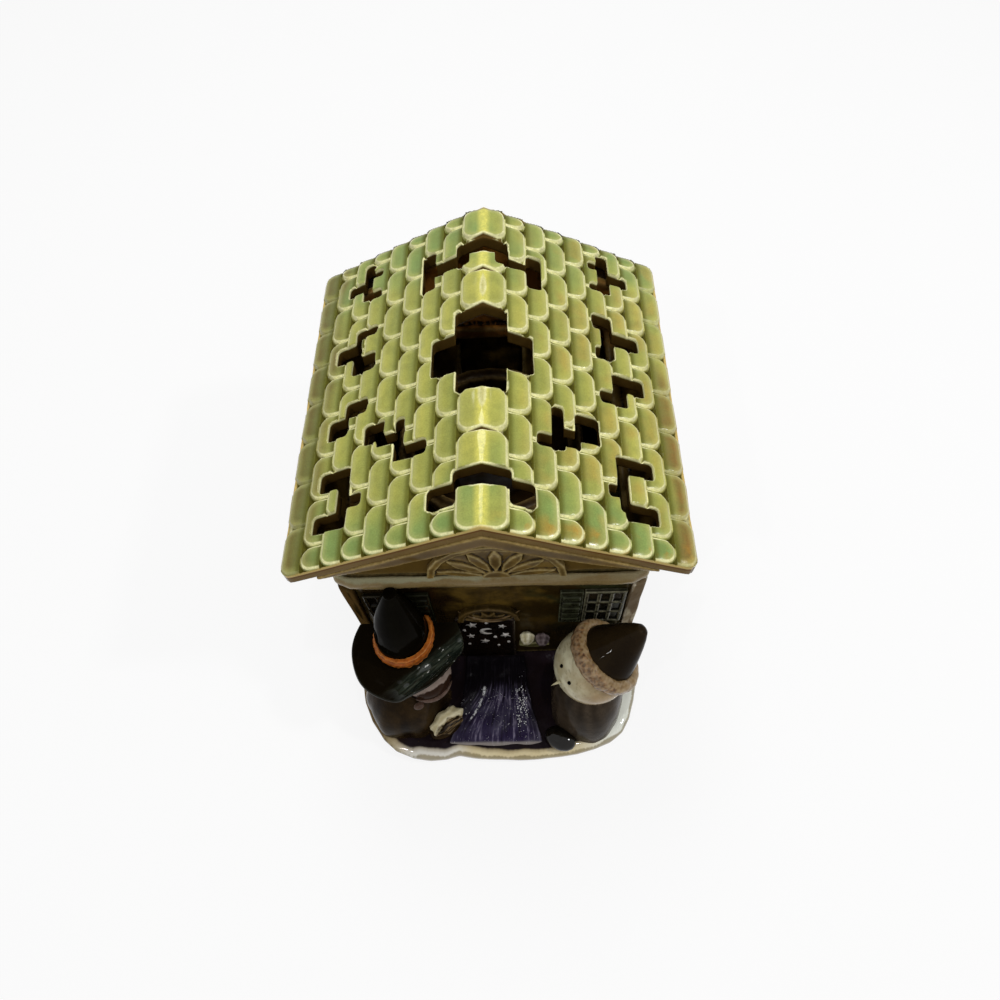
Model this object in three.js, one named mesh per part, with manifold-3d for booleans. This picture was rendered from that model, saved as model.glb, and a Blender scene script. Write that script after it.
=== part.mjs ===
// A tealight wax warmer in the form of a small glazed pottery house.
// The roof lifts off as a lid, a wax dish sits on four corner shelves inside the walls,
// and the tealight slides in and out through an arch in the back wall.
// Millimetres, +Z up, +X to the right of the house, -Y out of its front door.
// The origin is on the ground under the middle of the roof.
import * as THREE from "three";
import { mergeVertices } from "three/addons/utils/BufferGeometryUtils.js";
import Module from "manifold-3d";

const wasm = await Module();
wasm.setup();

// Fits between pieces
const GAP = 0.3;

// How far a cutting form reaches past what it cuts
const REACH = 150;

// House walls
const HOUSE_HALF_WIDTH = 58;
const HOUSE_HALF_DEPTH = 62;
const HOUSE_CORNER_RADIUS = 5;
const HOUSE_RIM = 92;
const WALL_THICKNESS = 5;
const FLOOR_THICKNESS = 4;
const FOOT_FLARE = 4;
const SIDE_FLARE = 1.5;

// Plinth, with a yard in front of the house
const PLINTH_HEIGHT = 8;
const PLINTH_EDGE_ROUND = 2.4;
const PLINTH_MARGIN = 5;
const YARD_DEPTH = 51.5;
const PLINTH_HALF_WIDTH = HOUSE_HALF_WIDTH + PLINTH_MARGIN;
const PLINTH_BACK = HOUSE_HALF_DEPTH + PLINTH_MARGIN;
const PLINTH_FRONT = HOUSE_HALF_DEPTH + YARD_DEPTH;

// Band round the rim and boards on the corners
const BAND_HEIGHT = 10;
const BAND_DEPTH = 2.4;
const CORNER_BOARD_WIDTH = 6.5;
const CORNER_BOARD_DEPTH = 2.4;

// Arch in the back wall
const ARCH_WIDTH = 56;
const ARCH_SPRING = 22;

// Corner shelves that carry the wax dish
const SHELF_DROP = 8;
const SHELF_TOP = HOUSE_RIM - SHELF_DROP;
const SHELF_THICKNESS = 5;
const SHELF_VENT_WIDTH = 28;

// Wax dish
const DISH_BOWL_RADIUS = 34;
const DISH_FLANGE = 5;
const DISH_BASE_RADIUS = 21;
const DISH_DEPTH = 19;
const DISH_WALL = 3;
const DISH_LIP = 1.2;
const DISH_FIT = 1.2;

// Tealight
const CUP_RADIUS = 19;
const CUP_HEIGHT = 16;
const CUP_WALL = 0.5;
const CUP_FOOT_ROUND = 1;
const WAX_DEPTH = 12;
const WAX_SINK = 0.8;
const WICK_RADIUS = 0.9;
const WICK_LENGTH = 7;

// Front door, hood, windows and shutters
const DOOR_X = -4.5;
const DOOR_WIDTH = 25;
const DOOR_HEIGHT = 42;
const DOOR_DEPTH = 1.8;
const HOOD_X = DOOR_X + 2;
const HOOD_RADIUS = 13;
const HOOD_DEPTH = 3;
const HOOD_RIM = 2.2;
const HOOD_RIBS = 6;
const HOOD_RIB_WIDTH = 3;
const WINDOW_WIDTH = 16;
const WINDOW_HEIGHT = 30;
const WINDOW_SILL = 46;
const WINDOW_RIGHT_INSET = 14;
const WINDOW_LEFT_INSET = 15.5;
const WINDOW_RIGHT_X = HOUSE_HALF_WIDTH - WINDOW_RIGHT_INSET;
const WINDOW_LEFT_X = WINDOW_LEFT_INSET - HOUSE_HALF_WIDTH;
const PANE_DEPTH = 0.9;
const SASH_DEPTH = 1.7;
const SASH_BAR = 1.3;
const PANES = 3;
const SHUTTER_WIDTH = 9;
const SHUTTER_DEPTH = 1.6;
const SHUTTER_SLATS = 5;

// Garden path
const PATH_THICKNESS = 1.3;
const PATH_X = -1.5;
const PATH_TOP_WIDTH = 27;
const PATH_BOTTOM_WIDTH = 41;
const PATH_MARGIN = 6.5;
const PATH_FRONT = PLINTH_FRONT - PATH_MARGIN;
const PATH_FRONT_BOW = 2;

// Cluster beside the door
const BLOOM_RADIUS = 3.1;
const BLOOM_HEIGHT = 30;
const BLOOM_SPACING = 6.8;
const BLOOM_DROP = 1.6;
const BLOOM_PETALS = 5;

// Roof
const SIDE_OVERHANG = 13;
const FRONT_OVERHANG = 8.5;
const BACK_OVERHANG = 9;
const EAVE_RISE = 20;
const ROOF_HALF_WIDTH = HOUSE_HALF_WIDTH + SIDE_OVERHANG;
const ROOF_FRONT = HOUSE_HALF_DEPTH + FRONT_OVERHANG;
const ROOF_BACK = HOUSE_HALF_DEPTH + BACK_OVERHANG;
const ROOF_CORNER_RADIUS = 4;
const EAVE_HEIGHT = HOUSE_RIM + EAVE_RISE;
const ROOF_SLOPE = THREE.MathUtils.degToRad(26.3);
const SLAB_THICKNESS = 5;
const RIDGE_FLAT = 5;

// Shingles
const RIDGE_CAP_HALF_WIDTH = 8.5;
const COURSES = 8;
const TILES_ALONG = 7.86;
const TILE_LENGTH = (ROOF_FRONT + ROOF_BACK) / TILES_ALONG;
const TILE_JOINT = 0.5;
const TILE_CORNER = 2.8;
const TILE_EDGE_ROUND = 0.8;
const TILE_HIGH_END = 2;
const TILE_LOW_END = 0.8;
const TILE_UNDERLAP = 1.4;
const TILE_FLOOR = 0.3;
const RIDGE_CREST_DROP = 1.7;

// Lid walls, fanlight and bargeboards
const LID_WALL = 4;
const LID_COVE_DEPTH = 8;
const LID_COVE_HEIGHT = 13;
const LIP_DEPTH = 4;
const LIP_ROOT = 2;
const LIP_WALL = 2;
const LIP_FIT = 0.6;
const FAN_X = 2.5;
const FAN_RADIUS = 25.5;
const FAN_BACKING = 0.9;
const FAN_RELIEF = 2.1;
const FAN_PETALS = 7;
const FAN_PETAL_WIDTH = 4.4;
const FAN_HUB = 5;
const FAN_RIM = 2.6;
const FAN_LIFT = 1;
const BOARD_THICKNESS = 3;
const BOARD_CENTRE_DROP = 7;
const BOARD_END_DROP = 1.5;
const BOARD_INSET = 13;
const BOARD_HALF_WIDTH = ROOF_HALF_WIDTH - BOARD_INSET;

// Left figure, in a tall hat. Heights are above the plinth.
const WITCH_INSET = 17;
const WITCH_STANDOFF = 24;
const WITCH_X = WITCH_INSET - HOUSE_HALF_WIDTH;
const WITCH_Y = -(HOUSE_HALF_DEPTH + WITCH_STANDOFF);
const WITCH_ROBE_HALF_WIDTH = 18.5;
const WITCH_ROBE_HALF_DEPTH = 19;
const WITCH_ROBE_HEIGHT = 36;
const WITCH_HEAD_RADIUS = 10.5;
const WITCH_HEAD_SHOW = 0.5;
const WITCH_HEAD_REACH = 10.5;
const BRIM_X = 5;
const BRIM_Y = 9.5;
const BRIM_RADIUS = 23;
const BRIM_THICKNESS = 2;
const BRIM_HEIGHT = 41.7;
const BRIM_FOLD = 13;
const BRIM_FOLD_WIDTH = 6;
const BRIM_FOLD_ANGLE = THREE.MathUtils.degToRad(40);
const CROWN_RADIUS = 10.8;
const CROWN_HEIGHT = 35;
const CROWN_TAPER = 0.76;
const CROWN_SWELL = 1.9;
const HAT_BAND_HEIGHT = 3.8;
const HAT_BAND_DEPTH = 1.5;
const CUFF_LENGTH = 16;
const CUFF_WIDTH = 10;
const CUFF_HEIGHT = 7;
const CUFF_RAISE = 6;
const CUFF_TURN = 0.64;

// Right figure, a round one in a pointed hat. Heights are above the plinth.
const GHOST_INSET = 19.5;
const GHOST_STANDOFF = 28;
const GHOST_X = HOUSE_HALF_WIDTH - GHOST_INSET;
const GHOST_Y = -(HOUSE_HALF_DEPTH + GHOST_STANDOFF);
const GHOST_ROBE_HALF_WIDTH = 15.5;
const GHOST_ROBE_HALF_DEPTH = 17.5;
const GHOST_ROBE_HEIGHT = 34;
const GHOST_HEAD_RADIUS = 15.3;
const GHOST_HEAD_HEIGHT = 41.7;
const NOSE_LENGTH = 5;
const NOSE_RADIUS = 1.3;
const NOSE_SINK = 0.6;
const SHOE_LENGTH = 14;
const SHOE_WIDTH = 9.2;
const SHOE_HEIGHT = 7.2;
const SHOE_SINK = 0.6;
const SHOE_TURN = -0.45;
const SHOE_X = -12;
const SHOE_Y = -16;
const RUFF_RADIUS = 13.2;
const RUFF_TUBE = 2.8;
const RUFF_SEAT = 8.5;
const POINTED_HAT_RADIUS = 12.8;
const POINTED_HAT_LENGTH = 22.5;

// Facets round a turned or oval form
const ROUND = 18;

// Openings in the roof where tiles are left out.
// Each box is [from course, to course, from tile, to tile]. Courses count outwards from the ridge
// line, negative on the left slope, with the ridge cap as course 1. Tiles count from the front edge.
const ROOF_OPENINGS = {
  ridgeBack: [
    [-3.0, -2.35, 5.9, 7.05],
    [-2.45, -1.1, 6.25, 6.65],
    [-1.25, 1.05, 6.5, 6.95],
    [-1.2, -0.6, 6.2, 6.75],
    [0.5, 1.1, 6.2, 6.75],
    [1.0, 2.1, 6.2, 6.5],
    [1.95, 2.7, 5.8, 6.75],
  ],
  ridgeMiddle: [
    [-1.25, 1.0, 4.2, 5.0],
    [-2.3, 2.15, 3.5, 4.45],
    [-1.1, 0.95, 2.95, 3.65],
  ],
  ridgeFront: [
    [-1.1, 1.1, 0.85, 1.25],
    [-2.2, -0.95, 0.55, 1.0],
    [1.0, 2.05, 0.55, 1.05],
  ],
  leftTop: [
    [-6.4, -5.85, 6.45, 7.6],
    [-7.25, -6.35, 6.75, 7.1],
    [-5.9, -5.3, 7.05, 7.3],
    [-5.95, -5.3, 6.4, 6.7],
  ],
  leftUpper: [
    [-6.5, -5.3, 5.3, 5.6],
    [-6.5, -6.1, 4.8, 5.6],
    [-7.5, -6.1, 4.8, 5.25],
    [-6.5, -5.3, 4.35, 4.85],
  ],
  leftMiddle: [
    [-6.6, -5.45, 3.25, 3.65],
    [-7.4, -6.35, 2.8, 3.3],
  ],
  leftLower: [
    [-7.5, -5.95, 1.6, 2.05],
    [-6.5, -5.95, 0.7, 2.05],
    [-6.05, -5.3, 1.1, 1.4],
    [-7.6, -5.95, 0.7, 1.1],
  ],
  leftZigzag: [
    [-5.45, -4.4, 2.4, 2.9],
    [-4.8, -3.4, 2.25, 2.55],
    [-3.9, -3.4, 2.0, 2.8],
    [-3.9, -2.35, 1.8, 2.15],
  ],
  rightTop: [
    [5.65, 6.3, 6.4, 7.6],
    [5.2, 5.7, 7.05, 7.3],
    [6.2, 7.25, 6.75, 7.1],
    [5.2, 5.85, 6.4, 6.65],
  ],
  rightUpper: [
    [5.15, 6.1, 5.25, 5.7],
    [5.5, 6.15, 4.6, 5.7],
    [6.1, 7.45, 4.9, 5.3],
    [5.2, 6.15, 4.5, 4.8],
  ],
  rightMiddle: [
    [5.85, 7.45, 3.7, 4.15],
    [5.85, 6.55, 3.3, 4.15],
    [5.2, 6.5, 3.3, 3.65],
  ],
  rightLower: [
    [5.7, 7.4, 1.7, 2.1],
    [5.65, 6.15, 0.85, 2.1],
    [5.2, 5.75, 1.15, 1.45],
    [5.85, 7.4, 0.7, 1.1],
  ],
  rightZigzag: [
    [2.85, 3.4, 1.95, 2.9],
    [2.2, 3.4, 1.9, 2.2],
    [3.3, 4.1, 2.0, 2.45],
    [3.9, 5.0, 2.2, 2.85],
  ],
};
const OPENING_CORNER = 1.2;

// Solids: from a closed geometry to a solid that can be joined and cut, and back

function solid(geometry) {
  const bare = geometry.clone();
  bare.deleteAttribute("normal");
  bare.deleteAttribute("uv");
  const merged = mergeVertices(bare, 1e-4);
  const index = merged.index.array;
  const triangles = [];
  for (let i = 0; i < index.length; i += 3) {
    const corners = [index[i], index[i + 1], index[i + 2]];
    if (new Set(corners).size === 3) triangles.push(...corners);
  }
  return new wasm.Manifold(
    new wasm.Mesh({
      numProp: 3,
      vertProperties: merged.attributes.position.array,
      triVerts: new Uint32Array(triangles),
    }),
  );
}

function geometryOf(body) {
  const mesh = body.getMesh();
  const geometry = new THREE.BufferGeometry();
  geometry.setAttribute("position", new THREE.BufferAttribute(mesh.vertProperties, mesh.numProp));
  geometry.setIndex(new THREE.BufferAttribute(mesh.triVerts, 1));
  geometry.computeVertexNormals();
  return geometry;
}

const joined = (bodies) => bodies.reduce((sum, body) => sum.add(body));
const cutBy = (body, cutters) => cutters.reduce((rest, cutter) => rest.subtract(cutter), body);

function material(color, roughness, metalness = 0) {
  return new THREE.MeshStandardMaterial({ color, roughness, metalness });
}

function piece(name, body, finish, group) {
  const mesh = new THREE.Mesh(geometryOf(body), finish);
  mesh.name = name;
  group.add(mesh);
  return mesh;
}

// Outlines and basic forms

function box(x0, x1, y0, y1, z0, z1) {
  const geometry = new THREE.BoxGeometry(x1 - x0, y1 - y0, z1 - z0);
  geometry.translate((x0 + x1) / 2, (y0 + y1) / 2, (z0 + z1) / 2);
  return solid(geometry);
}

function roundedRectangle(x0, x1, y0, y1, radius) {
  const shape = new THREE.Shape();
  shape.absarc(x1 - radius, y0 + radius, radius, -Math.PI / 2, 0);
  shape.absarc(x1 - radius, y1 - radius, radius, 0, Math.PI / 2);
  shape.absarc(x0 + radius, y1 - radius, radius, Math.PI / 2, Math.PI);
  shape.absarc(x0 + radius, y0 + radius, radius, Math.PI, Math.PI * 1.5);
  return shape;
}

// An outline in plan, raised from one height to another
function column(shape, z0, z1, curveSegments = 3) {
  const geometry = new THREE.ExtrudeGeometry(shape, { depth: z1 - z0, bevelEnabled: false, curveSegments });
  geometry.translate(0, 0, z0);
  return solid(geometry);
}

// An outline seen from the front, with its x across and its y up, that runs from y0 back to y1
function frontProfile(shape, y0, y1, curveSegments = 6) {
  const geometry = new THREE.ExtrudeGeometry(shape, { depth: y1 - y0, bevelEnabled: false, curveSegments });
  geometry.rotateX(Math.PI / 2);
  geometry.translate(0, y1, 0);
  return solid(geometry);
}

function polygon(points) {
  return new THREE.Shape(points.map(([x, y]) => new THREE.Vector2(x, y)));
}

// A closed solid through a stack of rings of points, all counter-clockwise seen from above
function loftGeometry(rings) {
  const count = rings[0].length;
  const points = rings.flat();
  const faces = [];
  for (let level = 0; level < rings.length - 1; level++) {
    for (let i = 0; i < count; i++) {
      const a = level * count + i;
      const b = level * count + ((i + 1) % count);
      faces.push(a, b, b + count, a, b + count, a + count);
    }
  }
  const top = (rings.length - 1) * count;
  const bottomCentre = points.push(centreOf(rings[0])) - 1;
  const topCentre = points.push(centreOf(rings[rings.length - 1])) - 1;
  for (let i = 0; i < count; i++) {
    const next = (i + 1) % count;
    faces.push(bottomCentre, next, i);
    faces.push(topCentre, top + i, top + next);
  }
  const geometry = new THREE.BufferGeometry().setFromPoints(points);
  geometry.setIndex(faces);
  return geometry;
}

const loft = (rings) => solid(loftGeometry(rings));

function centreOf(ring) {
  const sum = ring.reduce((total, point) => total.add(point), new THREE.Vector3());
  return sum.divideScalar(ring.length);
}

function rectangleRing(halfWidth, halfDepth, radius, z) {
  const points = roundedRectangle(-halfWidth, halfWidth, -halfDepth, halfDepth, radius).getPoints(1);
  return points.map((p) => new THREE.Vector3(p.x, p.y, z));
}

function ovalRing(x, y, halfWidth, halfDepth, z, count = ROUND, folds = 0, foldDepth = 0) {
  const ring = [];
  for (let i = 0; i < count; i++) {
    const angle = (i / count) * Math.PI * 2;
    const reach = 1 + foldDepth * Math.cos(folds * angle);
    ring.push(new THREE.Vector3(
      x + halfWidth * reach * Math.cos(angle),
      y + halfDepth * reach * Math.sin(angle),
      z,
    ));
  }
  return ring;
}

function ball(x, y, z, radius, segments = 16) {
  const geometry = new THREE.SphereGeometry(radius, segments, Math.round(segments * 0.6));
  geometry.rotateX(Math.PI / 2);
  geometry.translate(x, y, z);
  return solid(geometry);
}

// A profile of radius and height turned round the Z axis
function turned(profile, segments = ROUND) {
  const geometry = new THREE.LatheGeometry(profile.map(([r, z]) => new THREE.Vector2(r, z)), segments);
  geometry.rotateX(Math.PI / 2);
  return solid(geometry);
}

// Moves a form made along +Z so that its Z axis runs along direction from a point
function aimed(geometry, from, direction) {
  const turn = new THREE.Quaternion().setFromUnitVectors(new THREE.Vector3(0, 0, 1), direction);
  geometry.applyQuaternion(turn);
  geometry.translate(from.x, from.y, from.z);
  return solid(geometry);
}

// Plinth and garden path

function plinth() {
  const w = PLINTH_HALF_WIDTH;
  const f = PLINTH_FRONT;
  const shape = new THREE.Shape();
  shape.moveTo(-w + 5, PLINTH_BACK);
  shape.quadraticCurveTo(-w + 1, PLINTH_BACK, -w + 1, PLINTH_BACK - 5);
  shape.lineTo(-w + 1, -60);
  shape.bezierCurveTo(-w - 1, -75, -w - 1, -92, -w + 11, -f + 9);
  shape.bezierCurveTo(-w + 19, -f - 1, -w + 38, -f - 1, -18, -f + 2);
  shape.bezierCurveTo(-8, -f, 14, -f - 1, 26, -f + 1);
  shape.bezierCurveTo(40, -f + 3, w - 10, -f + 6, w - 5, -f + 17);
  shape.bezierCurveTo(w + 1, -f + 30, w + 1, -72, w - 1, -60);
  shape.lineTo(w - 1, PLINTH_BACK - 5);
  shape.quadraticCurveTo(w - 1, PLINTH_BACK, w - 5, PLINTH_BACK);
  const geometry = new THREE.ExtrudeGeometry(shape, {
    depth: PLINTH_HEIGHT - 2 * PLINTH_EDGE_ROUND,
    bevelThickness: PLINTH_EDGE_ROUND,
    bevelSize: PLINTH_EDGE_ROUND,
    bevelOffset: -PLINTH_EDGE_ROUND,
    bevelSegments: 2,
    curveSegments: 5,
  });
  geometry.translate(0, 0, PLINTH_EDGE_ROUND);
  return solid(geometry);
}

function gardenPath() {
  const back = wallFront(PLINTH_HEIGHT, DOOR_DEPTH + 2 * GAP);
  const shape = new THREE.Shape();
  const top = PATH_TOP_WIDTH / 2;
  const bottom = PATH_BOTTOM_WIDTH / 2;
  const middle = (back - PATH_FRONT) / 2;
  shape.moveTo(PATH_X - top, back);
  shape.quadraticCurveTo(PATH_X - top, middle, PATH_X - bottom, -PATH_FRONT);
  shape.quadraticCurveTo(PATH_X, -PATH_FRONT - PATH_FRONT_BOW, PATH_X + bottom, -PATH_FRONT);
  shape.quadraticCurveTo(PATH_X + top, middle, PATH_X + top, back);
  return column(shape, PLINTH_HEIGHT + GAP, PLINTH_HEIGHT + GAP + PATH_THICKNESS, 8);
}

// House walls

const FOOT = PLINTH_HEIGHT + GAP;
const FLOOR_TOP = FOOT + FLOOR_THICKNESS;

function flareAt(z) {
  const down = THREE.MathUtils.clamp((HOUSE_RIM - z) / (HOUSE_RIM - FOOT), 0, 1);
  return FOOT_FLARE * down * down;
}

// The y of the front wall's face at a height, moved out by a depth
function wallFront(z, depth = 0) {
  return -(HOUSE_HALF_DEPTH + flareAt(z) + depth);
}

// The outside of the walls, moved out by a depth. With a cutting margin it is taller than the walls.
function wallGeometry(depth, margin = 0) {
  const heights = [FOOT, (FOOT + WINDOW_SILL) / 2, WINDOW_SILL - 2, HOUSE_RIM];
  if (margin > 0) {
    heights.unshift(FOOT - margin);
    heights.push(HOUSE_RIM + margin);
  }
  return loftGeometry(heights.map((z) => {
    const out = flareAt(z) + depth;
    const sideOut = flareAt(z) * (SIDE_FLARE / FOOT_FLARE) + depth;
    return rectangleRing(HOUSE_HALF_WIDTH + sideOut, HOUSE_HALF_DEPTH + out, HOUSE_CORNER_RADIUS + out, z);
  }));
}

const wallForm = (depth, margin) => solid(wallGeometry(depth, margin));

// A layer on the outside of the walls, from one depth to another
function wallLayer(depth0, depth1) {
  return wallForm(depth1).subtract(wallForm(depth0, 1));
}

function archShape(halfWidth, base, spring) {
  const shape = new THREE.Shape();
  shape.moveTo(-halfWidth, base);
  shape.lineTo(halfWidth, base);
  shape.lineTo(halfWidth, spring);
  shape.absarc(0, spring, halfWidth, 0, Math.PI);
  return shape;
}

function cornerShelves() {
  const half = SHELF_VENT_WIDTH / 2;
  const reachX = HOUSE_HALF_WIDTH - WALL_THICKNESS + 1;
  const reachY = HOUSE_HALF_DEPTH - WALL_THICKNESS + 1;
  const bottom = SHELF_TOP - SHELF_THICKNESS;
  const well = new THREE.Shape().absarc(0, 0, DISH_BOWL_RADIUS + DISH_FIT, 0, Math.PI * 2);
  const plate = box(-reachX, reachX, -reachY, reachY, bottom, SHELF_TOP);
  return cutBy(plate, [
    column(well, bottom - 1, SHELF_TOP + 1, 10),
    box(-half, half, -reachY - 1, reachY + 1, bottom - 1, SHELF_TOP + 1),
    box(-reachX - 1, reachX + 1, -half, half, bottom - 1, SHELF_TOP + 1),
  ]);
}

function houseWalls() {
  const inside = rectangleRing(
    HOUSE_HALF_WIDTH - WALL_THICKNESS, HOUSE_HALF_DEPTH - WALL_THICKNESS, HOUSE_CORNER_RADIUS - 2, FLOOR_TOP,
  );
  const insideTop = inside.map((p) => new THREE.Vector3(p.x, p.y, HOUSE_RIM + 1));
  const hollow = loft([inside, insideTop]);
  const arch = archShape(ARCH_WIDTH / 2, FLOOR_TOP, FLOOR_TOP + ARCH_SPRING);
  const archway = frontProfile(arch, HOUSE_HALF_DEPTH - WALL_THICKNESS - 1, REACH);
  return wallForm(0).subtract(hollow).subtract(archway).add(cornerShelves());
}

function rimBand() {
  const z0 = HOUSE_RIM - BAND_HEIGHT;
  const rings = [];
  const steps = 6;
  for (let i = 0; i <= steps; i++) {
    const share = i / steps;
    const out = GAP + BAND_DEPTH * Math.sin(Math.PI * (0.12 + 0.76 * share));
    const z = z0 + BAND_HEIGHT * share;
    rings.push(rectangleRing(HOUSE_HALF_WIDTH + out, HOUSE_HALF_DEPTH + out, HOUSE_CORNER_RADIUS + out, z));
  }
  return loft(rings).subtract(wallForm(GAP, 1));
}

function cornerBoard(sideX, sideY) {
  const layer = wallLayer(GAP, CORNER_BOARD_DEPTH);
  const w = HOUSE_HALF_WIDTH - CORNER_BOARD_WIDTH + SIDE_FLARE;
  const d = HOUSE_HALF_DEPTH - CORNER_BOARD_WIDTH + FOOT_FLARE;
  const xs = [sideX * w, sideX * REACH].sort((a, b) => a - b);
  const ys = [sideY * d, sideY * REACH].sort((a, b) => a - b);
  return layer.intersect(box(xs[0], xs[1], ys[0], ys[1], FOOT - 1, HOUSE_RIM - BAND_HEIGHT - GAP));
}

// What is seen on the front wall

function onFrontWall(shape, depth0, depth1, curveSegments = 6) {
  return wallLayer(depth0, depth1).intersect(frontProfile(shape, -REACH, 0, curveSegments));
}

function frontDoor() {
  const x0 = DOOR_X - DOOR_WIDTH / 2;
  const shape = roundedRectangle(x0, x0 + DOOR_WIDTH, FOOT, FOOT + DOOR_HEIGHT, 1.5);
  return onFrontWall(shape, GAP, DOOR_DEPTH, 2);
}

function doorHood() {
  const base = FOOT + DOOR_HEIGHT + GAP;
  const arch = new THREE.Shape();
  arch.absarc(HOOD_X, base, HOOD_RADIUS, 0, Math.PI);
  const bodies = [onFrontWall(arch, GAP, HOOD_DEPTH / 2, 4)];
  const rim = new THREE.Shape();
  rim.absarc(HOOD_X, base, HOOD_RADIUS, 0, Math.PI);
  rim.absarc(HOOD_X, base, HOOD_RADIUS - HOOD_RIM, Math.PI, 0, true);
  bodies.push(onFrontWall(rim, GAP, HOOD_DEPTH, 4));
  for (let i = 0; i < HOOD_RIBS; i++) {
    const angle = (Math.PI * (i + 0.5)) / HOOD_RIBS;
    const rib = leaf(HOOD_X, base, angle, 1, HOOD_RADIUS - HOOD_RIM - 0.8, HOOD_RIB_WIDTH / 2);
    bodies.push(onFrontWall(rib, GAP, HOOD_DEPTH, 2));
  }
  return joined(bodies);
}

// A pointed leaf that grows out of a centre at an angle
function leaf(x, y, angle, inner, outer, halfWidth) {
  const along = new THREE.Vector2(Math.cos(angle), Math.sin(angle));
  const across = new THREE.Vector2(-along.y, along.x);
  const at = (distance, side) => [
    x + along.x * distance + across.x * side,
    y + along.y * distance + across.y * side,
  ];
  const middle = (inner + outer) * 0.56;
  const shape = new THREE.Shape();
  shape.moveTo(...at(inner, 0));
  shape.quadraticCurveTo(...at(middle, -2 * halfWidth), ...at(outer, 0));
  shape.quadraticCurveTo(...at(middle, 2 * halfWidth), ...at(inner, 0));
  return shape;
}

// An upright rectangle seen from the front
function upright(x0, x1, z0, z1) {
  return polygon([[x0, z0], [x1, z0], [x1, z1], [x0, z1]]);
}

const WINDOW_TOP = Math.min(WINDOW_SILL + WINDOW_HEIGHT, HOUSE_RIM - BAND_HEIGHT - 2 * GAP);

// A plate with its panes sunk into it, between upright and level bars
function latticeWindow(x) {
  const x0 = x - WINDOW_WIDTH / 2;
  const paneWidth = (WINDOW_WIDTH - SASH_BAR) / PANES;
  const paneHeight = (WINDOW_TOP - WINDOW_SILL - SASH_BAR) / PANES;
  const plate = onFrontWall(upright(x0, x0 + WINDOW_WIDTH, WINDOW_SILL, WINDOW_TOP), GAP, SASH_DEPTH);
  const panes = [];
  for (let across = 0; across < PANES; across++) {
    for (let up = 0; up < PANES; up++) {
      const left = x0 + SASH_BAR + across * paneWidth;
      const low = WINDOW_SILL + SASH_BAR + up * paneHeight;
      const pane = upright(left, left + paneWidth - SASH_BAR, low, low + paneHeight - SASH_BAR);
      panes.push(onFrontWall(pane, PANE_DEPTH, SASH_DEPTH + 1));
    }
  }
  return cutBy(plate, panes);
}

function shutter(x) {
  const x0 = x - SHUTTER_WIDTH / 2;
  const x1 = x + SHUTTER_WIDTH / 2;
  const board = upright(x0, x1, WINDOW_SILL - 1, WINDOW_TOP);
  const slat = (WINDOW_TOP - WINDOW_SILL - 3) / SHUTTER_SLATS;
  const bodies = [onFrontWall(board, GAP, SHUTTER_DEPTH)];
  for (let i = 0; i < SHUTTER_SLATS; i++) {
    const low = WINDOW_SILL + 1 + i * slat;
    bodies.push(onFrontWall(upright(x0 + 1.2, x1 - 1.2, low, low + slat * 0.6), GAP, SHUTTER_DEPTH + 0.5));
  }
  return joined(bodies);
}

// Blooms beside the door, on the front wall

const CLUSTER_X = DOOR_X + DOOR_WIDTH / 2 + BLOOM_RADIUS * 1.6;

// A ruffled bud that faces out of the front wall
function bloom(x, z) {
  const rings = [[0.5, 0], [1, 0.5], [0.85, 1.2], [0.4, 1.7]].map(([width, out]) => (
    ovalRing(0, 0, BLOOM_RADIUS * width, BLOOM_RADIUS * width, BLOOM_RADIUS * out, 20, BLOOM_PETALS, 0.12)
  ));
  const seat = new THREE.Vector3(x, wallFront(z, 0), z);
  return aimed(loftGeometry(rings), seat, new THREE.Vector3(0, -1, 0)).subtract(wallForm(GAP));
}

function bloomLeaf() {
  const halfWidth = BLOOM_RADIUS * 0.7;
  const z = BLOOM_HEIGHT - BLOOM_DROP - BLOOM_RADIUS * 1.2 - halfWidth - GAP;
  const shape = leaf(CLUSTER_X - BLOOM_RADIUS, z, 0, 0, BLOOM_SPACING + BLOOM_RADIUS * 2, halfWidth);
  return onFrontWall(shape, GAP, BLOOM_RADIUS * 0.8, 4);
}

// Wax dish, turned round its middle. Zero is the underside of its flange, which sits on the shelves.

function waxDish() {
  const rim = DISH_BOWL_RADIUS + DISH_FLANGE;
  const inner = DISH_BOWL_RADIUS - DISH_WALL;
  const lip = DISH_WALL + DISH_LIP;
  const base = -DISH_DEPTH;
  const middle = -DISH_DEPTH / 2;
  return turned([
    [0, base],
    [DISH_BASE_RADIUS - 2, base],
    [DISH_BOWL_RADIUS - 3, middle],
    [DISH_BOWL_RADIUS, -2],
    [DISH_BOWL_RADIUS, 0],
    [rim - 0.8, 0],
    [rim, lip / 2],
    [rim - 1.6, lip],
    [inner + 1.4, lip - DISH_LIP / 2],
    [inner - 3, middle + 1],
    [DISH_BASE_RADIUS - 3, base + DISH_WALL + 1],
    [0, base + DISH_WALL],
  ], ROUND + 4);
}

// Tealight. Zero is the underside of its cup, which stands on the floor of the house.

function tealightCup() {
  const inner = CUP_RADIUS - CUP_WALL;
  return turned([
    [0, 0],
    [CUP_RADIUS - CUP_FOOT_ROUND, 0],
    [CUP_RADIUS, CUP_FOOT_ROUND],
    [CUP_RADIUS, CUP_HEIGHT],
    [inner, CUP_HEIGHT],
    [inner, CUP_WALL],
    [0, CUP_WALL],
  ]);
}

function tealightWax() {
  const base = CUP_WALL + GAP;
  const top = base + WAX_DEPTH;
  const radius = CUP_RADIUS - CUP_WALL - GAP;
  const hole = WICK_RADIUS + GAP;
  return turned([[hole, base], [radius, base], [radius, top], [hole, top - WAX_SINK], [hole, base]]);
}

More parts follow.
